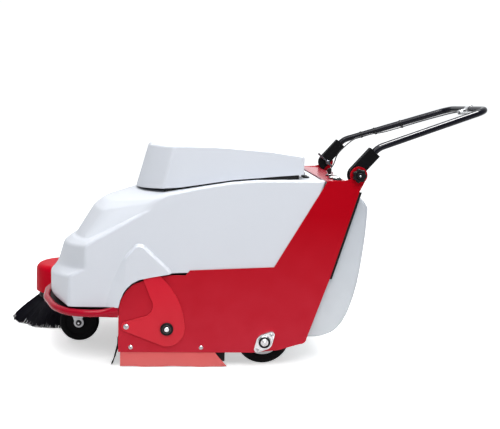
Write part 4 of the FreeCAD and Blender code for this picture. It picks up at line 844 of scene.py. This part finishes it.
def guard_skin(name, wall):
    """The guard's outside, or its inside a wall further in and open below."""
    shoulder = guard_top - guard_round
    levels = [(guard_low - (30 if wall else 0), 0.0), (guard_low + 3, 0.0), (guard_low + 60, 0.8), (shoulder, 2.0)]
    levels += [(shoulder + guard_round * math.sin(a), 2.0 + guard_round * (1 - math.cos(a)))
               for a in (math.radians(degrees) for degrees in (15, 30, 45, 60, 75))]
    levels += [(guard_top, 30.0), (guard_top, 60.0)]
    return lofted(name, [[(x, y, z - wall if k > 3 else z) for x, y in guard_line(t + wall)]
                         for k, (z, t) in enumerate(levels)])


red_plastic = made_of("red_plastic", (0.50, 0.0004, 0.013), (0.475, 0.0004, 0.012), 7.0, (0.34, 0.42), (300.0, 0.05),
                      Specular_IOR_Level=0.04)
guard = carved(guard_skin("guard", 0.0), [guard_skin("guard_inside", 3.0)])
fitted(eased(shaded(guard, 36.0), 0.7, 50.0), red_plastic, "side_arm", "red_plastic", "side_brush_guard")
for node_name, body, material, slot in (("side_brush_bracket", "chassis", arm_paint, "red_paint"),
                                        ("side_brush_arm", "side_arm", arm_paint, "red_paint"),
                                        ("side_brush_motor", "side_arm", black_plastic, "black_plastic"),
                                        ("side_brush_block", "side_brush", black_plastic, "black_plastic")):
    carried(node_name, 1.0, material, body, slot)

tuft_rings, root_z = ((86.0, 64), (96.0, 72), (104.0, 84)), 95.0   # each ring's radius and its number of tufts
fringe, given = tree("side_strands", {"Axis X": 0.0, "Axis Y": 0.0, "Strands": 25, "Drop": 0.0925, "Longest": 0.165,
                                      "Thickness": 0.00085, "Seed": 7})
seed, place = given["Seed"], node(fringe, "GeometryNodeInputPosition").outputs[0]
centre = vector(fringe, given["Axis X"], given["Axis Y"], root_z * mm)
from_axis = node(fringe, "ShaderNodeVectorMath", {0: place, 1: centre}, operation="DISTANCE").outputs["Value"]
outwards = vectors(fringe, "NORMALIZE", vectors(fringe, "SUBTRACT", place, centre))
# A tuft's lean is its angle below level: most in the inner ring, and more on the side toward the castor.
by_ring = ramp(fringe, from_axis, (0.086, 0.104), (1.10, 0.77))
pressed = node(fringe, "ShaderNodeVectorMath", {0: outwards, 1: (0.05, 0.09, 0.0)}, operation="DOT_PRODUCT")
drawn_in = ramp(fringe, apart(fringe, outwards)["X"], (0.1, 1.0), (0.0, 0.30))
ring_lean = sums(fringe, "ADD", by_ring, sums(fringe, "ADD", pressed.outputs["Value"], drawn_in))
lean = sums(fringe, "ADD", ring_lean, draw(fringe, -0.03, 0.06, seed))
leaning = node(fringe, "GeometryNodeStoreNamedAttribute", {
    "Geometry": given["Geometry"], "Name": "lean", "Value": lean}, data_type="FLOAT", domain="POINT")
many = node(fringe, "GeometryNodeDuplicateElements", {"Geometry": leaning.outputs[0], "Amount": given["Strands"]},
            domain="POINT").outputs["Geometry"]
loose = draw(fringe, (-0.004, -0.004, -0.001), (0.004, 0.004, 0.001), seed)
spread = node(fringe, "GeometryNodeSetPosition", {"Geometry": many, "Offset": loose}).outputs[0]
tuft_lean = node(fringe, "GeometryNodeInputNamedAttribute", {"Name": "lean"}, data_type="FLOAT").outputs[0]
slope = sums(fringe, "ADD", tuft_lean, draw(fringe, -0.03, 0.03, seed))
to_floor = sums(fringe, "DIVIDE", given["Drop"], sums(fringe, "SINE", slope))
reach = sums(fringe, "MINIMUM", to_floor, given["Longest"])
length = sums(fringe, "MULTIPLY", reach, draw(fringe, 0.965, 1.0, seed))
where = apart(fringe, place)
round_disc = sums(fringe, "ARCTAN2", sums(fringe, "SUBTRACT", where["Y"], given["Axis Y"]),
                  sums(fringe, "SUBTRACT", where["X"], given["Axis X"]))
heading = sums(fringe, "ADD", round_disc, draw(fringe, -0.10, 0.10, seed))
bow = node(fringe, "GeometryNodeCurveQuadraticBezier", {
    "Resolution": 4, "Start": (0, 0, 0), "Middle": (0.5, 0, 0.007), "End": (1, 0, -0.001)}).outputs[0]
thin = ramp(fringe, node(fringe, "GeometryNodeSplineParameter").outputs["Factor"], (0.0, 1.0), (1.0, 0.7))
tapered = node(fringe, "GeometryNodeSetCurveRadius", {"Curve": bow, "Radius": thin}).outputs[0]
section = node(fringe, "GeometryNodeCurvePrimitiveCircle", {"Resolution": 3, "Radius": given["Thickness"]}).outputs[0]
strand = node(fringe, "GeometryNodeCurveToMesh", {"Curve": tapered, "Profile Curve": section, "Fill Caps": True})
placed_on(fringe, spread, strand.outputs[0], angled(fringe, y=slope, z=heading), bristle,
          Scale=vector(fringe, length, 1.0, 1.0))
roots = [(side_x + r * math.cos(a), side_y + r * math.sin(a), root_z) for r, count in tuft_rings
         for a in (2 * math.pi * (k + r) / count for k in range(count))]
strands = grown("side_strands_piece", fringe, {"Axis X": side_x * mm, "Axis Y": side_y * mm}, roots)
fitted(strands, bristle, "side_brush", "bristle", "side_brush_bristles")

# ---- debris hopper: a grey moulded bin on rails, with a tall rear tank that closes the machine's back ----
# The tank's corners are wide and soft, and a grip slot is moulded through its rear wall.
tank_x, tank_half, hopper_wall, bin_top, bin_floor, bin_half = 120.0, 290.0, 5.0, 325.0, 150.0, 200.0
mouth_x, mouth_half, tank_round = -100.0, 185.0, 26
tank_line = [(tank_x, 110), (166, 104), (214, 109), (258, 127), (285, 156), (306, 196), (326, 258), (339, 319),
             (350, 404), (358, 500), (361, 588), (349, 606), (338, 618), (300, 641), (222, 640), (150, bin_top),
             (tank_x, bin_top)]
x_drawn, z_drawn = range(3, 14), range(15)   # the points whose x, and whose z, the corner's round draws in


def tank(name, wall):
    """The tank's outside, or its inside a wall further in."""
    rings = []
    for s, along in ((-1, (90, 75, 60, 45, 30, 15, 0)), (1, (0, 15, 30, 45, 60, 75, 90))):
        for a in (math.radians(degrees) for degrees in along):
            y = tank_half - tank_round + tank_round * math.sin(a) - wall
            tight = inset(tank_line, wall + 16 * (1 - math.cos(a)))
            line = [(tight[k][0] if k in x_drawn else x, tight[k][1] if k in z_drawn else z)
                    for k, (x, z) in enumerate(inset(tank_line, wall))]
            rings.append(at_y(softened(line, 22.0), s * y))
    return lofted(name, rings)


hopper = tank("hopper_tank", 0.0)
bin_rear, flange_half, well_half = tank_x + 6, bin_half + 14, bin_half - hopper_wall
carved(hopper, [crate("bin", mouth_x, bin_rear, -bin_half, bin_half, bin_floor, bin_top),
                crate("flanges", mouth_x, bin_rear, -flange_half, flange_half, bin_top - 6, bin_top, 2.0)], "UNION")
carved(hopper, [tank("tank_inside", hopper_wall),
                crate("bin_inside", mouth_x + hopper_wall, tank_x + 12, -well_half, well_half,
                      bin_floor + hopper_wall, bin_top - hopper_wall),
                crate("mouth", mouth_x - 3, mouth_x + 8, -mouth_half, mouth_half, bin_floor + 10, bin_top - 25, 3.0),
                crate("filter_hole", -47, 67, -122, 102, bin_top - 12, bin_top + 3, 3.0),
                slab("grip", softened([(325, 552), (375, 552), (375, 583), (325, 583)], 3.0), -62, 62)])
grey_plastic = made_of("grey_plastic", (0.51, 0.54, 0.59), (0.46, 0.49, 0.53), 4.0, (0.34, 0.46), (220.0, 0.08),
                       Specular_IOR_Level=0.4)
# painted light: the hopper turns a paler blue-grey low down for the light the floor throws up on it
dust_and_painted_floor_light(grey_plastic, 0.10, 0.62, 0.42, (0.80, 0.84, 0.86))
fitted(eased(shaded(hopper, 38.0), 1.0, 50.0), grey_plastic, "debris_hopper", "grey_plastic", "hopper")

# ---- control panel: a folded steel strip between the lugs, in the plates' red, with the machine's few controls ----
# They are a key switch, a toggle, a round battery gauge and a charging socket.
panel_z, control_x = 684.0, 246.0
gauge_y, toggle_y, key_y = -215.0, -165.0, -112.0
panel_paint = made_of("panel_paint", (0.50, 0.010, 0.035), (0.47, 0.009, 0.03), 6.0, (0.22, 0.30), (900.0, 0.03),
                      Specular_IOR_Level=0.5, Coat_Weight=0.6, Coat_Roughness=0.15)
# painted highlight: a lighter pink along the panel's edges
painted_edge_light(panel_paint, (0.62, 0.12, 0.13))
gauge_face = made_of("gauge_face", (0.72, 0.73, 0.70), (0.68, 0.69, 0.66), 30.0, (0.12, 0.2), (300.0, 0.02),
                     Coat_Weight=0.8)
for node_name, radius, material, body, slot in (
        ("control_panel", 0.8, panel_paint, "chassis", "red_paint"),
        ("switch_bodies", 0.7, black_plastic, "chassis", "black_plastic"),
        ("charger_socket", 0.8, black_plastic, "chassis", "black_plastic"),
        ("toggle_lever", 0.6, aluminium, "toggle", "aluminium")):
    carried(node_name, radius, material, body, slot)


def upright_turned(name, outline, x, y, base=panel_z, steps=48):
    """A round piece about an upright line: an outline of (radius, height above base)."""
    piece = turned(name, outline, 0, 0, 1, base, steps)
    stood_up = Matrix(((1, 0, 0), (0, 0, -1), (0, 1, 0))).to_4x4()
    piece.data.transform(Matrix.Translation(Vector((x, y, 0)) * mm) @ stood_up)
    return piece


def key_part(name, line, thick):
    """A flat part of the key, from its outline about the switch's middle."""
    return slab(name, [(control_x + x, panel_z + z) for x, z in line], key_y - thick / 2, key_y + thick / 2)


key_bow = softened([(-5.5, 8), (5.5, 8), (8.5, 14), (8.5, 24), (4.5, 29), (-4.5, 29), (-8.5, 24), (-8.5, 14)], 2.5)
key_blade = [(-3.6, -12), (3.6, -12), (3.6, 9), (-3.6, 9)]
key = joined("key_piece", key_part("key_bow", key_bow, 5.2), key_part("key_blade", key_blade, 2.2))
fitted(eased(key, 0.8), black_plastic, "ignition_key", "black_plastic", "key")
face = upright_turned("gauge_dial", [(0, -18), (18.6, -18), (18.6, 4.6), (17.2, 6.6), (13, 9), (7, 10.4), (0, 10.8)],
                      control_x, gauge_y)
fitted(face, gauge_face, "chassis", "gauge_face", "battery_gauge")


def on_gauge(name, line, c, s, low, high):
    """A flat shape of (along, across) on the dial, turned by the angle whose cosine and sine are c and s."""
    return lofted(name, [[(control_x + c * u - s * v, gauge_y + s * u + c * v, panel_z + z) for u, v in line]
                         for z in (low, high)])


mark, hand = [(9, -0.7), (13, -0.7), (13, 0.7), (9, 0.7)], [(-4, -1.2), (9, -0.5), (9, 0.5), (-4, 1.2)]
marks = [on_gauge("mark", mark, math.cos(a), math.sin(a), 8.0, 10.3)
         for a in (math.radians(60 + 30 * k) for k in range(9))]
ring = upright_turned("ring", [(17.4, 3), (23, 0.1), (23, 2.2), (21.6, 3.6), (19.4, 4), (17.4, 3.8)],
                      control_x, gauge_y)
cap = upright_turned("cap", [(0, 9), (2.4, 9), (2.2, 11.6), (0, 11.8)], control_x, gauge_y, steps=20)
bezel = joined("gauge_bezel", ring, cap, on_gauge("needle", hand, 0.8, 0.6, 9.0, 11.4), *marks)
fitted(bezel, black_plastic, "chassis", "black_plastic")
nut_line = [(9.2, -0.1), (11.5, 0.1), (11.5, 2.2), (10.7, 3), (9.2, 3)]
nut = upright_turned("nut", nut_line, control_x, toggle_y, steps=6)
collar = upright_turned("collar", [(10.6, 4.6), (12.6, 4.6), (12.6, 5.6), (11.8, 6.2), (10.6, 6.2)], control_x, key_y)
fitted(joined("control_nuts", nut, collar), zinc, "chassis", "zinc")

# ---- handle: a 25 mm steel tube bent into a loop, gloss black, in two matt black box brackets on the lugs ----
# Each bracket pivots on its lug and is clamped there by a tee bolt and a seven-lobed plastic knob.
tilt = math.radians(48.8)
lug_x, lug_z, bracket_w, bracket_len, bracket_d, below = 312.0, 706.0, 45.0, 99.0, 30.6, 9.5
y_out = half_width - 3.3
y_in = y_out - bracket_d
tube_y, n_mid = (y_in + y_out) / 2, bracket_w / 2 - below
tube_r, crossbar_x, crossbar_half, crossbar_z = 12.5, 807.0, 195.0, 949.825


def at_bracket(s, n, y=0.0):
    """A point by its distance along the bracket and across it."""
    cosine, sine = math.cos(tilt), math.sin(tilt)
    return Vector((lug_x + s * cosine - n * sine, y, lug_z + s * sine + n * cosine))


black_paint = made_of("black_paint", (0.003, 0.003, 0.007), (0.005, 0.005, 0.010), 9.0, (0.05, 0.08), (700.0, 0.005),
                      Specular_IOR_Level=0.2)
matt_black = made_of("matt_black", (0.0025, 0.0025, 0.003), (0.005, 0.005, 0.006), 14.0, (0.5, 0.62), (900.0, 0.08),
                     Specular_IOR_Level=0.05)
# painted highlight: a paler grey along the brackets' edges
painted_edge_light(matt_black, (0.05, 0.05, 0.055))
carried("handle_brackets", 1.0, matt_black, "handle", "black_paint", "brackets")
half_route = [at_bracket(bracket_len - 60, n_mid, -tube_y), at_bracket(bracket_len + 19.5, n_mid, -tube_y),
              Vector((crossbar_x, -crossbar_half, crossbar_z))]
tube_route = bent(half_route + [Vector((p.x, -p.y, p.z)) for p in reversed(half_route)], [70, 58, 58, 70], 14)
loop = tube("handle_loop", tube_route, lambda travelled: (tube_r, tube_r, 0.0), 32, 2.0)
fitted(shaded(loop, 40.0), black_paint, "handle", "black_paint", "handle_tube")
tee_steel = made_of("tee_steel", (0.055, 0.055, 0.065), (0.10, 0.10, 0.115), 30.0, (0.22, 0.34), (500.0, 0.1),
                    Metallic=0.7)
parts, nut_out = [], half_width + 14
shank_line = [(0, y_in - 15), (5.5, y_in - 15), (8.6, y_in - 12.6), (9, y_in - 10), (9, y_in), (4, y_in),
              (4, nut_out), (0, nut_out)]
for s, bar_turn, start, end in ((-1, tilt, -45, 45), (1, tilt + math.radians(90), -26, 56)):
    parts.append(turned("tee_shank", shank_line, lug_x, lug_z, s, steps=40))
    middle, along_bar = Vector((lug_x, s * (y_in - 8), lug_z)), Vector((math.cos(bar_turn), 0, math.sin(bar_turn)))
    parts.append(tube("tee_bar", [middle + along_bar * (start + (end - start) * k / 12) for k in range(13)],
                      lambda travelled: (4.0, 4.0, 0.0), 20))
tees = shaded(joined("tee_bolts_piece", *parts), 40.0)
fitted(tees, tee_steel, "handle", "dark_steel", "tee_bolts")
lobes, valley_r, lobe_height = 7, 20.2, 4.8
lobed = [(a, valley_r + lobe_height * (0.5 + 0.5 * math.cos(lobes * a)) ** 0.75)
         for a in (2 * math.pi * k / 112 for k in range(112))]
knob_rim = [(0.4, 0.97), (1.6, 1.0), (16.5, 1.0), (18.6, 0.975), (19.8, 0.92), (20.2, 0.84)]
knob_dish = [(20.2, 15.5), (19.0, 13.5), (18.6, 11.5), (23.2, 10.6), (23.9, 9.6), (24.0, 6.0)]
for side, s in (("left", -1), ("right", 1)):
    rings = [[(lug_x + r * k * math.cos(a), s * (half_width + y), lug_z + r * k * math.sin(a)) for a, r in lobed]
             for y, k in knob_rim]
    rings += [[(lug_x + r * math.cos(a), s * (half_width + y), lug_z + r * math.sin(a)) for a, _ in lobed]
              for y, r in knob_dish]
    knob = shaded(lofted("knob_" + side, rings), 40.0)
    fitted(knob, black_plastic, "knob_" + side, "black_plastic", "star_knob_" + side)
    bolt_end = turned("bolt_end_" + side, [(0, 23), (3.2, 23), (3.2, 24.6), (2.2, 25.2), (0, 25.2)], lug_x, lug_z, s,
                      half_width, 24)
    fitted(bolt_end, bright_steel, "knob_" + side, "zinc")

# ---- drive lever, its clamp and cable: cast aluminium on the crossbar, and a black sheathed cable to the idler ----
# The cable hangs a little under the right arm, is clipped to it three times, and goes down through the panel.
for node_name, body, material, slot in (("lever_clamp", "handle", aluminium, "aluminium"),
                                        ("hand_lever", "drive_lever", aluminium, "aluminium"),
                                        ("cable_clips", "handle", black_plastic, "black_plastic")):
    carried(node_name, 0.9, material, body, slot)
cable_jacket = made_of("cable_jacket", (0.010, 0.010, 0.012), (0.016, 0.016, 0.018), 40.0, (0.35, 0.5), (800.0, 0.1))
fitted(shaded(copied("cable", "drive_cable"), 40.0), cable_jacket, "handle", "cable_jacket", "drive_cable")

# ---- batteries: two sealed lead-acid blocks, side by side on the tray, each with two lead posts ----
# A block is a moulded case with a lid, and a line a millimetre wide runs round between them.
tray_top, case_top, lid_top, post_top = 333.0, 172, 205, 217
battery_case = made_of("battery_case", (0.035, 0.037, 0.042), (0.05, 0.052, 0.056), 10.0, (0.4, 0.55), (300.0, 0.1))
lead = made_of("lead", (0.20, 0.20, 0.21), (0.28, 0.28, 0.29), 60.0, (0.45, 0.6), (400.0, 0.1), Metallic=0.8)
for side, s in (("left", -1), ("right", 1)):
    low, high = sorted((s * 5.0, s * (lid_half - 78.0)))
    case = joined("battery_" + side, crate("case", -381, -71, low + 1, high - 1, tray_top, tray_top + case_top, 7.0),
                  crate("top", -382, -70, low, high, tray_top + case_top + 1, tray_top + lid_top, 7.0))
    fitted(eased(case, 1.2), battery_case, "chassis", "battery_case", "batteries")
    post_line = [(0, lid_top - 1), (8, lid_top - 1), (7.4, post_top - 1), (6.6, post_top), (0, post_top)]
    posts = [upright_turned("post", post_line, x, (low + high) / 2 + s * 40, tray_top) for x in (-350, -102)]
    fitted(joined("posts_" + side, *posts), lead, "chassis", "battery_case")

# ---- dust filter: a pleated paper panel in a moulded frame, over the hopper's roof, with the suction fan on it ----
# The fan is a moulded volute with its motor standing on it. The controller beside it has cast cooling fins.
filter_x0, filter_x1, filter_y0, filter_y1, filter_h = -55.0, 75.0, -130.0, 110.0, 36.0
filter_paper = made_of("filter_paper", (0.58, 0.50, 0.36), (0.50, 0.43, 0.31), 40.0, (0.8, 0.95), (700.0, 0.3))
rim = crate("filter_rim", filter_x0, filter_x1, filter_y0, filter_y1, tray_top, tray_top + filter_h, 3.0)
carved(rim, [crate("filter_well", filter_x0 + 6, filter_x1 - 6, filter_y0 + 6, filter_y1 - 6, tray_top - 5,
                   tray_top + filter_h + 5, 2.0)])
fitted(shaded(rim), black_plastic, "chassis", "filter_paper", "dust_filter")
folds, given = tree("filter_folds", {"Width": 0.1, "Depth": 0.02, "Lean": 0.1})
leaf = node(folds, "GeometryNodeMeshCube", {"Size": vector(folds, given["Width"], 0.0007, given["Depth"])})
odd = sums(folds, "MODULO", node(folds, "GeometryNodeInputIndex").outputs[0], 2.0)
tip = sums(folds, "MULTIPLY", ramp(folds, odd, (0.0, 1.0), (-1.0, 1.0)), given["Lean"])
placed_on(folds, given["Geometry"], leaf.outputs["Mesh"], angled(folds, x=tip), filter_paper)
pleats = grown("filter_pleats", folds, {"Width": 0.118, "Depth": 0.031, "Lean": 0.075}, [
    ((filter_x0 + filter_x1) / 2, filter_y0 + 8.2 + 2.24 * k, tray_top + filter_h / 2) for k in range(100)])
fitted(pleats, filter_paper, "chassis", "filter_paper")
fan_x, fan_y, fan_low = 10.0, -10.0, tray_top + filter_h
volute_line = [(0, 0), (60, 0), (62, 2), (62, 44), (58, 48), (41, 48), (38, 51), (38, 88), (34, 93), (20, 94),
               (0, 94)]
volute = upright_turned("volute", volute_line, fan_x, fan_y, fan_low, 72)
carved(volute, [crate("outlet", fan_x, fan_x + 62, fan_y - 60, fan_y - 20, fan_low + 1, fan_low + 43, 5.0)], "UNION")
fitted(shaded(volute), black_plastic, "chassis", "black_plastic", "suction_fan")
box_y0, box_y1 = 20 - half_width, 130 - half_width
controller = joined("controller", crate("controller_base", -60, 60, box_y0, box_y1, tray_top, tray_top + 30, 4.0),
                    *[crate("fin", -59, 59, y, y + 2.6, tray_top + 29, tray_top + 50, 0.8)
                      for y in (box_y0 + 3 + 6.4 * k for k in range(17))])
fitted(controller, black_plastic, "chassis", "black_plastic", "motor_controller")

# ---- drive: a motor on the tray, a vee belt down to the axle, and a jockey roller that the cable pulls on it ----
# The pulleys are turned steel, and the motor is a painted can with its terminal box below.
for node_name, radius, material, body, slot in (
        ("traction_motor", 2.0, matt_black, "chassis", "black_plastic"),
        ("traction_belt", 0.7, black_rubber, "chassis", "black_rubber"),
        ("motor_pulley", 0.6, zinc, "motor_spindle", "zinc"),
        ("axle_pulley", 0.6, zinc, "rear_wheels", "zinc"),
        ("belt_idler", 0.6, black_plastic, "idler", "black_plastic")):
    carried(node_name, radius, material, body, slot)
